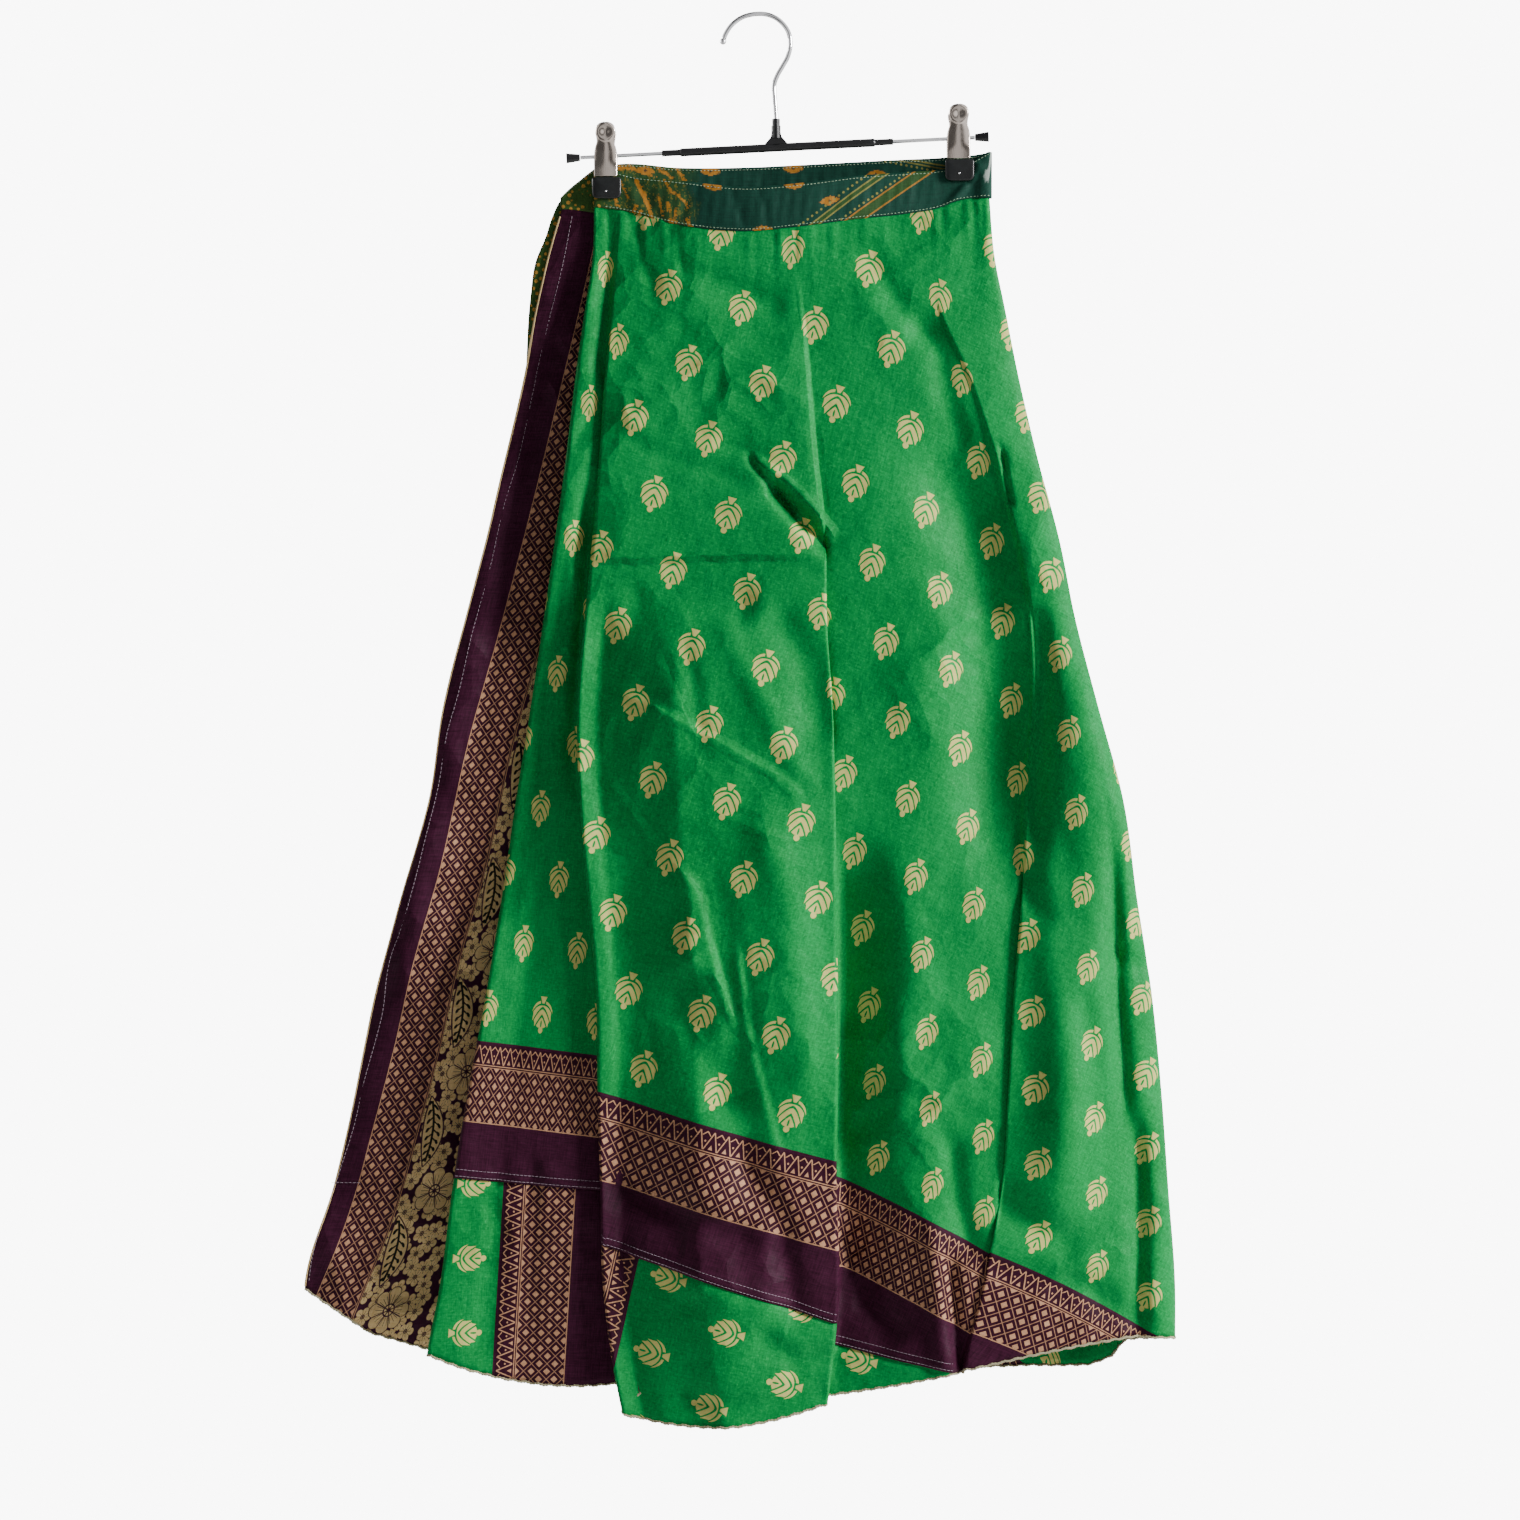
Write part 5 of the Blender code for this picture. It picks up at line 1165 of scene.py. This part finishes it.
waistband = {
    "endX": (-145.0, -138.0, -127.0, -119.0), "endTop": (131.5, 124.5, 115.5, 109.4), "endY": 2.4,
    "rightX": 164.7, "rightRadius": 3.0, "rightEdges": (98.8, 132.1),
    "leftX": -118.4, "leftRadius": 1.3, "leftEdges": (108.0, 139.0),
    "innerX": -118.0, "innerLong": 62.0, "innerBehind": 2.6,
    "backCloth": 60.0, "rows": 20, "wall": 1.5, "clips": ((-112.0, 12.0), (144.0, 10.0)),
    "pinches": [
        ("ridge", 2.6, 1.4, [(155, 104), (162, 114), (161, 129)]),
        ("ridge", 2.2, 1.4, [(158, 111), (153, 119), (143, 132)]),
        ("ridge", 2.2, 1.2, [(155, 118), (149, 123), (135, 138)]),
        ("trough", 3, 0.8, [(-96, 118), (-84, 128), (-74, 146)]),
        ("ridge", 4, 0.8, [(-100, 122), (-92, 134), (-88, 143)]),
        ("trough", 3, 0.7, [(-20, 128), (-16, 140), (-12, 152)]),
        ("trough", 2.5, 0.6, [(0, 130), (4, 142), (6, 152)]),
        ("trough", 3, 0.6, [(-44, 124), (-52, 136), (-58, 148)]),
    ],
}


def waistbandGrid():
    # one strip: the drooping end, the back stretch, the turn at the right, the front stretch, the fold at the left
    # and the inner end. Its turns are half circles; side is 1 on the back stretch and -1 on the front one
    w = waistband
    endX = np.linspace(w["endX"][0], w["endX"][-1], 14)
    backX = np.linspace(-117.0, 162.0, 130)
    backTop = band("backTop", backX)
    right = np.linspace(math.radians(75), math.radians(-75), 9)
    frontX = np.linspace(162.0, -114.0, 130)
    left = np.linspace(0.0, math.pi, 8)
    innerX = w["innerX"] + w["innerLong"] * np.linspace(0.04, 1.0, 24)
    x = (endX, backX, w["rightX"] + w["rightRadius"] * np.cos(right), frontX,
         w["leftX"] - w["leftRadius"] * np.sin(left), innerX)
    y = (np.full_like(endX, w["endY"]), band("backY", backX), w["rightRadius"] * np.sin(right),
         band("frontY", frontX), -w["leftRadius"] * (1 + np.cos(left)), band("frontY", innerX) + w["innerBehind"])
    top = (np.interp(endX, w["endX"], w["endTop"]), backTop, np.full(9, w["rightEdges"][0]),
           band("frontTop", frontX), np.full(8, w["leftEdges"][0]), band("frontTop", innerX))
    bottom = (backBottom(endX), backTop + skirt["bandTall"], np.full(9, w["rightEdges"][1]),
              band("frontBottom", frontX), np.full(8, w["leftEdges"][1]), band("frontBottom", innerX))
    cloth = (np.full(144, w["backCloth"]), np.linspace(w["backCloth"], 0.0, 9), np.zeros(130 + 8 + 24))
    side = (np.ones(144), np.linspace(1, -1, 9), -np.ones(130), np.zeros(8 + 24))
    return (np.concatenate(row) for row in (x, y, top, bottom, cloth, side))


bandX, bandY, bandTop, bandBottom, bandCloth, bandSide = waistbandGrid()
share = np.linspace(0.0, 1.0, waistband["rows"])[None, :]
gridX = bandX[:, None] + 0.0 * share
gridD = bandTop[:, None] + (bandBottom - bandTop)[:, None] * share
# a crown and puckers between the two rows of stitching, and the gathers pulled in by the clips; flat under the clips
crown = 0.5 * (1.0 - (2.0 * share - 1.0) ** 4)
ripple = 0.22 * np.sin(gridX * 0.75 + 3.0 * share) + 0.25 * np.sin(gridX * 0.19 + 1.0)
pucker = ripple * np.sin(share * math.pi)
free = np.minimum(*(smooth((np.abs(gridX - x) - 11.0) / fade) for x, fade in waistband["clips"]))
rightClip = waistband["clips"][1][0]
underPad = (1.0 - smooth((np.abs(gridX - rightClip) - 8.5) / 2.0)) * (1.0 - smooth((gridD - 121.0) / 3.0))
pinch = addCreases(gridX, gridD, waistband["pinches"])
pinch = pinch * np.where(gridX > 100.0, (1.0 - underPad) * smooth((165.0 - gridX) / 4.0), free)
gridY = bandY[:, None] + bandSide[:, None] * (crown + pucker) * free - (bandSide[:, None] < -0.5) * pinch
bandV = gridD - np.where(bandX < -121.5, waistband["endTop"][-1], bandTop)[:, None] + bandCloth[:, None]
waist = sheetMesh("waistband_cotton", gridX, gridY, gridD, (gridX, bandV), cotton, waistband["wall"])
dress(waist, "waistband")

outer = {
    "depth": (122, 133, 145, 160, 177, 204, 249, 350, 480, 620, 760),
    "left": (-134, -145, -151, -156, -163, -167, -170, -172, -174, -173, -175),
    "right": (-123.5, -123.5, -124, -126, -133, -138, -142, -144, -145, -144, -146),
    "lines": 14, "rows": 190, "wall": 1.0, "atBand": 4.1, "behind": 1.9,
}
inner = {"depths": (124.0, 684.0), "left": -55.7, "width": 28.0, "rows": 150, "behind": 2.6}
share = np.linspace(0.0, 1.0, outer["lines"])[:, None]
# the outer tie lies on the waistband and then on the wrap-edge panel, bowed across, and curls off it further down
tieDepths = np.linspace(outer["depth"][0], outer["depth"][-1], outer["rows"])[None, :] + 0.0 * share
left = read(outer, "left", tieDepths)
tieX = left + share * (read(outer, "right", tieDepths) - left)
tieY = np.maximum(outer["atBand"], backY(tieX, tieDepths) + wrapSway(tieX, tieDepths) + outer["behind"])
tieY = tieY + 0.3 * np.sin(share * math.pi)
tieY = tieY + smooth((tieDepths - 200.0) / 200.0) * (0.5 + 0.5 * np.sin(tieDepths / 46.0)) * 0.9 * share
outerTie = sheetMesh("tie_outer_cotton", tieX, tieY, tieDepths, (tieX, tieDepths), cotton, outer["wall"])
dress(outerTie, "tie_outer")
# the inner tie hangs straight down from the band's inner end
innerDepths = np.linspace(*inner["depths"], inner["rows"])[None, :] + 0.0 * share
innerX = inner["left"] + share * inner["width"] + 0.0 * innerDepths
innerY = (band("frontY", innerX) + inner["behind"]) * (1.0 - smooth((innerDepths - inner["depths"][0]) / 150.0))
innerY = innerY + 1.2 * np.sin(share * math.pi) * fullness(innerDepths)
innerUv = (-150.0 + inner["width"] * share + 0.0 * innerDepths, innerDepths)
innerTie = sheetMesh("tie_inner_cotton", innerX, innerY, innerDepths, innerUv, cotton, outer["wall"])
dress(innerTie, "tie_inner")
print("waistband and ties made")


def tubeAlong(name, points, radius, sides, material, node=None, wobble=None):
    # a ring of the given radius carried along a path, with closed ends
    points = np.asarray(points, float)
    tangent = np.gradient(points, axis=0)
    tangent /= np.linalg.norm(tangent, axis=1)[:, None]
    guide = np.where(np.abs(tangent[:, 1:2]) > 0.9, [[1.0, 0.0, 0.0]], [[0.0, 1.0, 0.0]])
    one = np.cross(tangent, guide)
    one /= np.linalg.norm(one, axis=1)[:, None]
    two = np.cross(tangent, one)
    count = len(points)
    angle = np.linspace(0.0, 2.0 * math.pi, sides, endpoint=False)
    size = np.broadcast_to(np.asarray(radius, float).reshape(-1, 1), (count, sides)).copy()
    if wobble is not None:
        size = size * wobble(np.arange(count)[:, None], angle[None, :])
    way = np.cos(angle)[None, :, None] * one[:, None] + np.sin(angle)[None, :, None] * two[:, None]
    ring = points[:, None] + size[..., None] * way
    number = np.arange(count * sides).reshape(count, sides)
    after = np.roll(number, -1, axis=1)
    faces = np.stack((number[:-1], after[:-1], after[1:], number[1:]), axis=2).reshape(-1, 4).tolist()
    faces += [number[0][::-1].tolist(), number[-1].tolist()]
    return dress(meshPiece(name, ring.reshape(-1, 3), faces, material), node)


def evenly(points, pitch):
    # points along a path, a pitch apart
    points = np.asarray(points, float)
    length = np.concatenate(([0.0], np.cumsum(np.linalg.norm(np.diff(points, axis=0), axis=1))))
    at = np.arange(0.0, length[-1], pitch)
    return np.stack([np.interp(at, length, points[:, k]) for k in range(3)], axis=1)


# each row's pitch, stitch length and thread radius, how far it stands off the cloth, and where it runs
stitches = {
    "band": (2.6, 1.7, 0.24), "bandOff": 0.85, "bandShares": (0.055, 0.955),
    "selvedge": (2.8, 2.5, 0.2), "selvedgeOff": 0.5, "selvedgeUp": (1.6, 6.4),
    "wrap": (3.2, 2.5, 0.22), "wrapOff": 0.55, "wrapDepths": (146.0, 920.0), "joinDepth": 847.5,
    "joinX": (-311.0, -290.0), "corners": 5,
}


def stitchRow(name, paths, pitch, length, radius, material, slot):
    # each stitch is a short five-sided bead along the path, of four rings, sunk at both ends; way is 1 on the back
    corners = stitches["corners"]
    angle = np.linspace(0.0, 2.0 * math.pi, corners, endpoint=False)
    stations = np.array((-0.5, -0.25, 0.25, 0.5))
    swell = np.array((0.35, 1.0, 1.0, 0.35))
    allPoints, allFaces, start = [], [], 0
    for path, way in paths:
        middle = evenly(path, pitch)
        tangent = np.gradient(middle, axis=0)
        tangent /= np.linalg.norm(tangent, axis=1)[:, None]
        facing = np.array((0.0, way, 0.0))
        out = facing[None, :] - tangent * (tangent @ facing)[:, None]
        out /= np.linalg.norm(out, axis=1)[:, None]
        side = np.cross(tangent, out)
        rise = (1.0 - (2.0 * np.abs(stations)) ** 2)[None, :, None, None] * radius * 0.5
        centre = middle[:, None, None] + tangent[:, None, None] * (stations * length)[None, :, None, None]
        centre = centre + out[:, None, None] * rise
        ring = np.cos(angle)[None, None, :, None] * out[:, None, None]
        ring = ring + np.sin(angle)[None, None, :, None] * side[:, None, None]
        points = centre + ring * (swell * radius)[None, :, None, None]
        count = len(middle) * len(stations) * corners
        number = start + np.arange(count).reshape(len(middle), len(stations), corners)
        after = np.roll(number, -1, axis=2)
        faces = np.stack((number[:, :-1], after[:, :-1], after[:, 1:], number[:, 1:]), axis=3).reshape(-1, 4)
        allPoints.append(points.reshape(-1, 3))
        allFaces += faces.tolist() + number[:, 0, ::-1].tolist() + number[:, -1].tolist()
        start += count
    return dress(meshPiece(name, np.vstack(allPoints), allFaces, material))


def bandPath(columns, share, way):
    # a line along the band at a share of its height, just off its outer or inner side
    at = share * (waistband["rows"] - 1)
    k = int(at)
    t = at - k
    y, depth = (grid[columns, k] * (1 - t) + grid[columns, k + 1] * t for grid in (gridY, gridD))
    return np.stack((gridX[columns, 0], y + way * stitches["bandOff"], -depth), axis=1), way


backColumns, frontColumns = np.arange(2, 150), np.arange(152, 282)
high, low = stitches["bandShares"]
bandStitches = stitchRow("waistband_stitches", [
    bandPath(frontColumns, high, -1.0), bandPath(frontColumns, low, -1.0),
    bandPath(backColumns, high, 1.0), bandPath(backColumns, low, 1.0), bandPath(backColumns, high, -1.0),
], *stitches["band"], paleThread, "band_cotton")


def frontPath(depths, columns):
    # a line across the front sheet, just before it, at a depth for each of its lines
    points = []
    for c in columns:
        x, y = (np.interp(depths[c], frontDepths[c], grid[c]) for grid in (frontX, frontYs))
        points.append((x, y - stitches["selvedgeOff"], -depths[c]))
    return np.array(points), -1.0


shownParts = (np.arange(parts["leftTurn"].stop - 2, parts["B"].stop),
              np.arange(parts["pleatB"].start + 13, parts["pleatC"].start + 5),
              np.arange(parts["pleatC"].start + 13, parts["D"].stop - 1))
stitchPaths = [frontPath(selvedge - up, columns[joined[columns]])
               for columns in shownParts for up in stitches["selvedgeUp"]]
selvedgeStitches = stitchRow("selvedge_stitches", stitchPaths, *stitches["selvedge"], pinkThread, "plum_silk")


def wrapPath(depths, xs, way):
    # a line on the wrap-edge panel, just off its front or back
    points = []
    for d, x in zip(depths, xs):
        k = np.argmin(np.abs(wrapDepths[0] - d))
        order = np.argsort(wrapX[:, k])
        y = np.interp(x, wrapX[order, k], wrapY[order, k])
        points.append((x, y + way * stitches["wrapOff"], -d))
    return np.array(points), way


depths = np.linspace(*stitches["wrapDepths"], 160)
seam = read(wrap["stitchLine"], "x", depths)
wrapStitches = stitchRow("wrap_edge_stitches", [
    wrapPath(depths, seam, -1.0), wrapPath(depths, seam, 1.0),
    wrapPath(np.full(8, stitches["joinDepth"]), np.linspace(*stitches["joinX"], 8), -1.0),
], *stitches["wrap"], pinkThread, "plum_silk")


def overlock(turn, angle):
    # the thread's thickness round a hem: 1 + 0.28 sin(2.1 turn + angle), with a slow change along it
    return 1.0 + 0.28 * np.sin(turn * 2.1 + angle) + 0.12 * np.sin(turn * 0.37)


def hemPath(x, y, depth):
    # a sheet's last row of points
    return np.stack((x[:, -1], y[:, -1], -depth[:, -1]), axis=1)


hems = {"pitch": 0.8, "radius": 1.0, "sides": 7, "sway": 0.35, "rollPitch": 3.0, "rollRadius": 0.8, "rollSides": 8}
rest = np.arange(picked[-1] + 1, lineCount)
frontHem = np.vstack((hemPath(lowerX[picked], lowerY[picked], lowerDepths[picked]),
                      hemPath(frontX[rest], frontYs[rest], frontDepths[rest])))
for name, path in (("front_hem_overlock", frontHem), ("back_hem_overlock", hemPath(backX, backYs, backDepths)),
                   ("wrap_hem_overlock", hemPath(wrapX, wrapY, wrapDepths))):
    points = evenly(path, hems["pitch"])
    points[:, 2] += hems["sway"] * np.sin(np.arange(len(points)) * 0.55)
    tubeAlong(name, points, hems["radius"], hems["sides"], creamThread, wobble=overlock)
wrapEdgePath = np.stack((wrapX[0, 2:] + 0.2, wrapY[0, 2:], -wrapDepths[0, 2:]), axis=1)
wrapEdge = tubeAlong("wrap_edge_roll", evenly(wrapEdgePath, hems["rollPitch"]), hems["rollRadius"],
                     hems["rollSides"], plumSilk)
print("sewing made")


def smoothPath(points, steps):
    # a smooth curve through the points: between two of them a cubic with the slopes of their neighbours
    p = np.array(points, float)
    p = np.vstack((2 * p[0] - p[1], p, 2 * p[-1] - p[-2]))
    t = np.linspace(0.0, 1.0, steps, endpoint=False)[None, :, None]
    a, b, c, d = (p[k:len(p) - 3 + k][:, None] for k in range(4))
    part = 0.5 * (2 * b + (c - a) * t + (2 * a - 5 * b + 4 * c - d) * t**2 + (3 * b - a - 3 * c + d) * t**3)
    return np.vstack((part.reshape(-1, 2), p[-2:-1]))


hook = {
    "line": ((11.6, 87.0), (11.6, 74.6), (10.4, 58.0), (10.2, 50.0), (12.6, 43.0), (16.6, 36.0), (20.3, 29.0),
             (22.0, 20.0), (20.2, 10.6), (13.8, 2.8), (5.4, -1.2), (-4.0, -1.6), (-13.0, 0.8), (-20.2, 6.0),
             (-24.8, 12.6), (-27.2, 19.4)),
    "radius": 1.75, "ball": 2.35, "sides": 20,
}
path = smoothPath(hook["line"], 10)
path = np.stack((path[:, 0], np.zeros(len(path)), -path[:, 1]), axis=1)
direction = (path[-1] - path[-2]) / np.linalg.norm(path[-1] - path[-2])
# the wire ends in a ball: radius sqrt(1 - step^2) along it, and never thinner than the wire before its middle
ballSteps = np.linspace(-1.0, 0.98, 12)
ball = path[-1] + direction * (ballSteps[:, None] * hook["ball"] - 1.2)
ballRadius = hook["ball"] * np.sqrt(np.clip(1.0 - ballSteps**2, 0.02, 1.0))
ballRadius = np.maximum(ballRadius, np.where(ballSteps < 0.0, hook["radius"], 0.0))
wire = path[:-4]
radii = np.concatenate((np.full(len(wire), hook["radius"]), ballRadius))
tubeAlong("hook_wire", np.vstack((wire, ball)), radii, hook["sides"], wireChrome, "hook")

bar = {"tilt": math.radians(2.93), "x": 12.7, "depth": 95.3, "clips": {"left": -112.0, "right": 144.0}}
jaw = {  # half width and reach from the bar's middle at each drop below the bar, and how far each clip has closed
    "drop": (-23.5, -22.4, -20.0, -16.5, -13.0, -9.8, -6.0, -2.0, 4.0, 9.0, 15.0),
    "half": (1.8, 4.4, 6.4, 7.1, 6.5, 6.3, 7.4, 8.1, 8.3, 8.3, 8.3),
    "reach": (9.6, 9.6, 9.5, 9.3, 8.6, 7.6, 6.4, 5.5, 5.2, 5.1, 5.1),
    "pinch": {"left": 3.7, "right": 2.5}, "crown": 1.2, "dish": 1.5, "dishDrop": -16.8, "dishRadius": 5.6, "wall": 0.95,
    "head": {"rows": 12, "tall": 3.6, "half": 6.4, "rim": 0.3}, "rows": 64,
}
spring = {"turns": 7.25, "radius": 2.9, "half": 5.2, "wire": 0.62}
rivets = {"aside": 0.4, "drop": 26.0, "radius": 0.8}


def clipPlace(side):
    # x and depth of the sloping bar's middle at a clip
    x = bar["clips"][side]
    return x, bar["depth"] - (x - bar["x"]) * math.tan(bar["tilt"])


def jawMesh(side, face):
    # a stamped plate: half width and reach read down its length, crowned across by the square of the share, with a
    # round top and a round dish in its head, whose rim stands up a little
    x0, depth0 = clipPlace(side)
    head, top, bottom = jaw["head"], jaw["drop"][0], jaw["drop"][-1]
    roundTop = top + 3.5 * np.linspace(0.0, 1.0, head["rows"]) ** 2
    drop = np.concatenate((roundTop, np.linspace(-19.6, bottom, jaw["rows"])))
    half = read(jaw, "half", drop, "drop")
    share = np.clip(1.0 - ((roundTop + 20.0) / head["tall"]) ** 2, 0.03, 1.0)
    half[:head["rows"]] = head["half"] * np.sqrt(share)
    reach = read(jaw, "reach", drop, "drop")
    closing = (jaw["pinch"][side] + 1.4 - reach) * smooth((drop - 2.0) / 13.0)
    crown = jaw["crown"] * (1.0 - 0.7 * smooth((drop - 2.0) / 8.0))
    part = np.linspace(-1.0, 1.0, 21)[None, :]
    across = half[:, None] * part
    away = np.hypot(across, drop[:, None] - jaw["dishDrop"])
    dish = jaw["dish"] * (1.0 - smooth(away / jaw["dishRadius"])) - head["rim"] * np.exp(-(((away - 6.0) / 0.9) ** 2))
    y = (-1.0 if face == "front" else 1.0) * ((reach + closing)[:, None] - crown[:, None] * part**2 - dish)
    x, depth = x0 + across, depth0 + drop[:, None] + 0.0 * part
    plate = sheetMesh(f"clip_{side}_{face}_plate", x.T, y.T, depth.T, (x.T, depth.T), clipSteel, jaw["wall"])
    dress(plate, f"clip_{side}_{face}_jaw")


def springCoil(side):
    # a helix of wire round the bar
    x0, depth0 = clipPlace(side)
    t = np.linspace(0.0, 1.0, 240)
    angle = t * 2.0 * math.pi * spring["turns"]
    along = -spring["half"] + 2.0 * spring["half"] * t
    x = x0 + along * math.cos(bar["tilt"])
    z = -(depth0 - along * math.sin(bar["tilt"])) + spring["radius"] * np.sin(angle)
    path = np.stack((x, spring["radius"] * np.cos(angle), z), axis=1)
    tubeAlong(f"clip_{side}_coil", path, spring["wire"], 8, wireChrome, f"clip_{side}_spring")


def rivet(name, x, y, depth):
    # a domed head, as rings (radius, height) from its rim to its middle
    angle = np.linspace(0.0, 2.0 * math.pi, 16, endpoint=False)[None, :]
    rings = np.array(((1.0, 0.0), (0.95, 0.35), (0.7, 0.65), (0.35, 0.82), (0.04, 0.88))) * rivets["radius"]
    px = x + rings[:, :1] * np.cos(angle)
    pd = depth + rings[:, :1] * np.sin(angle)
    py = y + (-1.0 if y < 0 else 1.0) * rings[:, 1:] + 0.0 * px
    dress(sheetMesh(name, px.T, py.T, pd.T, (px.T, pd.T), wireChrome, 0.0, closed=True))


def padMesh(name, front):
    # a dipped pad in its solid's box: rings of rounded squares |x|^5 + |z|^5 = 1, squarer at the top, over a crowned
    # face; it gives back where the pad's outer face lies
    low, high = (np.array(corner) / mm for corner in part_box(name))
    middle, half = (low + high) / 2.0, (high - low) / 2.0
    angle = np.linspace(0.0, 2.0 * math.pi, 64, endpoint=False)[:, None]
    across, up = np.cos(angle), np.sin(angle)
    power = np.where(up > 0.0, 14.0, 5.0)
    size = (np.abs(across) ** power + np.abs(up) ** power) ** (-1.0 / power)
    ring = np.array((0.02, 0.35, 0.65, 0.85, 0.94, 0.98, 1.0, 1.0, 0.97, 0.02))[None, :]
    reach = np.array((1.0, 0.97, 0.88, 0.76, 0.66, 0.5, 0.2, -0.9, -1.0, -1.0))[None, :]
    x = middle[0] + half[0] * across * size * ring
    z = middle[2] + half[2] * up * size * ring
    y = middle[1] + (-1.0 if front else 1.0) * half[1] * reach + 0.0 * x
    pad = sheetMesh(f"{name}_dipped", x, y, -z, (x, z), blackRubber, 0.0, closed=True)
    dress(pad, name)
    return (low if front else high)[1]


for side in ("left", "right"):
    x0, depth0 = clipPlace(side)
    for face in ("front", "back"):
        jawMesh(side, face)
        y = padMesh(f"clip_{side}_{face}_pad", face == "front")
        rivet(f"clip_{side}_{face}_rivet", x0 + rivets["aside"], y, depth0 + rivets["drop"])
    springCoil(side)
barMaterials = {"bar_wire": wireChrome, "bar_sleeve": blackPlastic, "end_cap_left": blackPlastic,
                "end_cap_right": blackPlastic}
for name, material in barMaterials.items():
    for slot in bpy.data.objects[name].material_slots:
        slot.material = material
print("hanger made")
studio = {
    "floor": -1.9, "radius": 2.4, "room": 0.075, "paper": 9.0,
    "lights": {  # where each soft light stands and aims, in metres, its size and its power in watts
        "key_light": ((3.45, -1.3, 0.72), (0.0, 0.0, -0.55), 1.05, 278.0),
        "left_light": ((-2.4, -2.4, -0.1), (0.0, 0.0, -0.5), 1.6, 4.0),
        "back_light": ((-3.2, 1.8, 0.7), (0.0, 0.0, -0.5), 1.3, 150.0),
    },
}


def softLight(name, place, aim, size, power):
    # a square soft light, turned by the heading and the fall of the line from it to its aim
    light = bpy.data.objects.new(name, bpy.data.lights.new(name, "AREA"))
    bpy.context.collection.objects.link(light)
    light.data.size = size
    light.data.energy = power
    light.location = place
    dx, dy, dz = (b - a for a, b in zip(place, aim))
    light.rotation_euler = (math.atan2(math.hypot(dx, dy), -dz), 0.0, math.atan2(dy, dx) - math.pi / 2.0)


for name, settings in studio["lights"].items():
    softLight(name, *settings)
# the floor is a round sheet of rings about its middle
angle = np.linspace(0.0, 2.0 * math.pi, 96, endpoint=False)[:, None]
rings = np.linspace(0.0, studio["radius"], 12)[None, :]
floorX, floorY = rings * np.cos(angle) / mm, rings * np.sin(angle) / mm
# matt floor paint, nearly white with faint clouds
floorMaterial, add = newMaterial("pale_floor_paint")
tone = add("TexNoise", {"Vector": add("TexCoord").outputs[3], "Scale": 3.0, "Detail": 3.0})
shade(add, add("MixRGB", tone, linear("#E9E8E6"), linear("#F6F6F5")), None, Roughness=0.8)
floorDepth = np.full_like(floorX, -studio["floor"] / mm)
floor = sheetMesh("studio_floor", floorX, floorY, floorDepth, (floorX, floorY), floorMaterial, 0.0, closed=True)

world = bpy.data.worlds.new("studio")
world.use_nodes = True
world.node_tree.nodes.clear()
add = partial(put, world.node_tree)
white = linear("#FFFFFF")
# what polished things mirror: a dim room with a narrow light card before them and wide ones at both sides
aside = add("SeparateXYZ", add("TexCoord").outputs[0]).outputs[0]
cards = [lineAt(add, aside, 0.03, 0.14, 0.07, 0.75), add("MapRange", aside, 0.28, 0.4, 0.14, 1.4),
         add("MapRange", aside, -0.55, -0.7, 0.0, 1.1)]
cards = add("Background", white, reduce(partial(add, "ADD"), cards))
isCamera, _, _, isGlossy = add("LightPath").outputs[:4]
seen = add("MixShader", isGlossy, add("Background", white, studio["room"]), cards)
add("OutputWorld", add("MixShader", isCamera, seen, add("Background", white, studio["paper"])))
bpy.context.scene.world = world
print("floor and lights made")

print("scene ready")
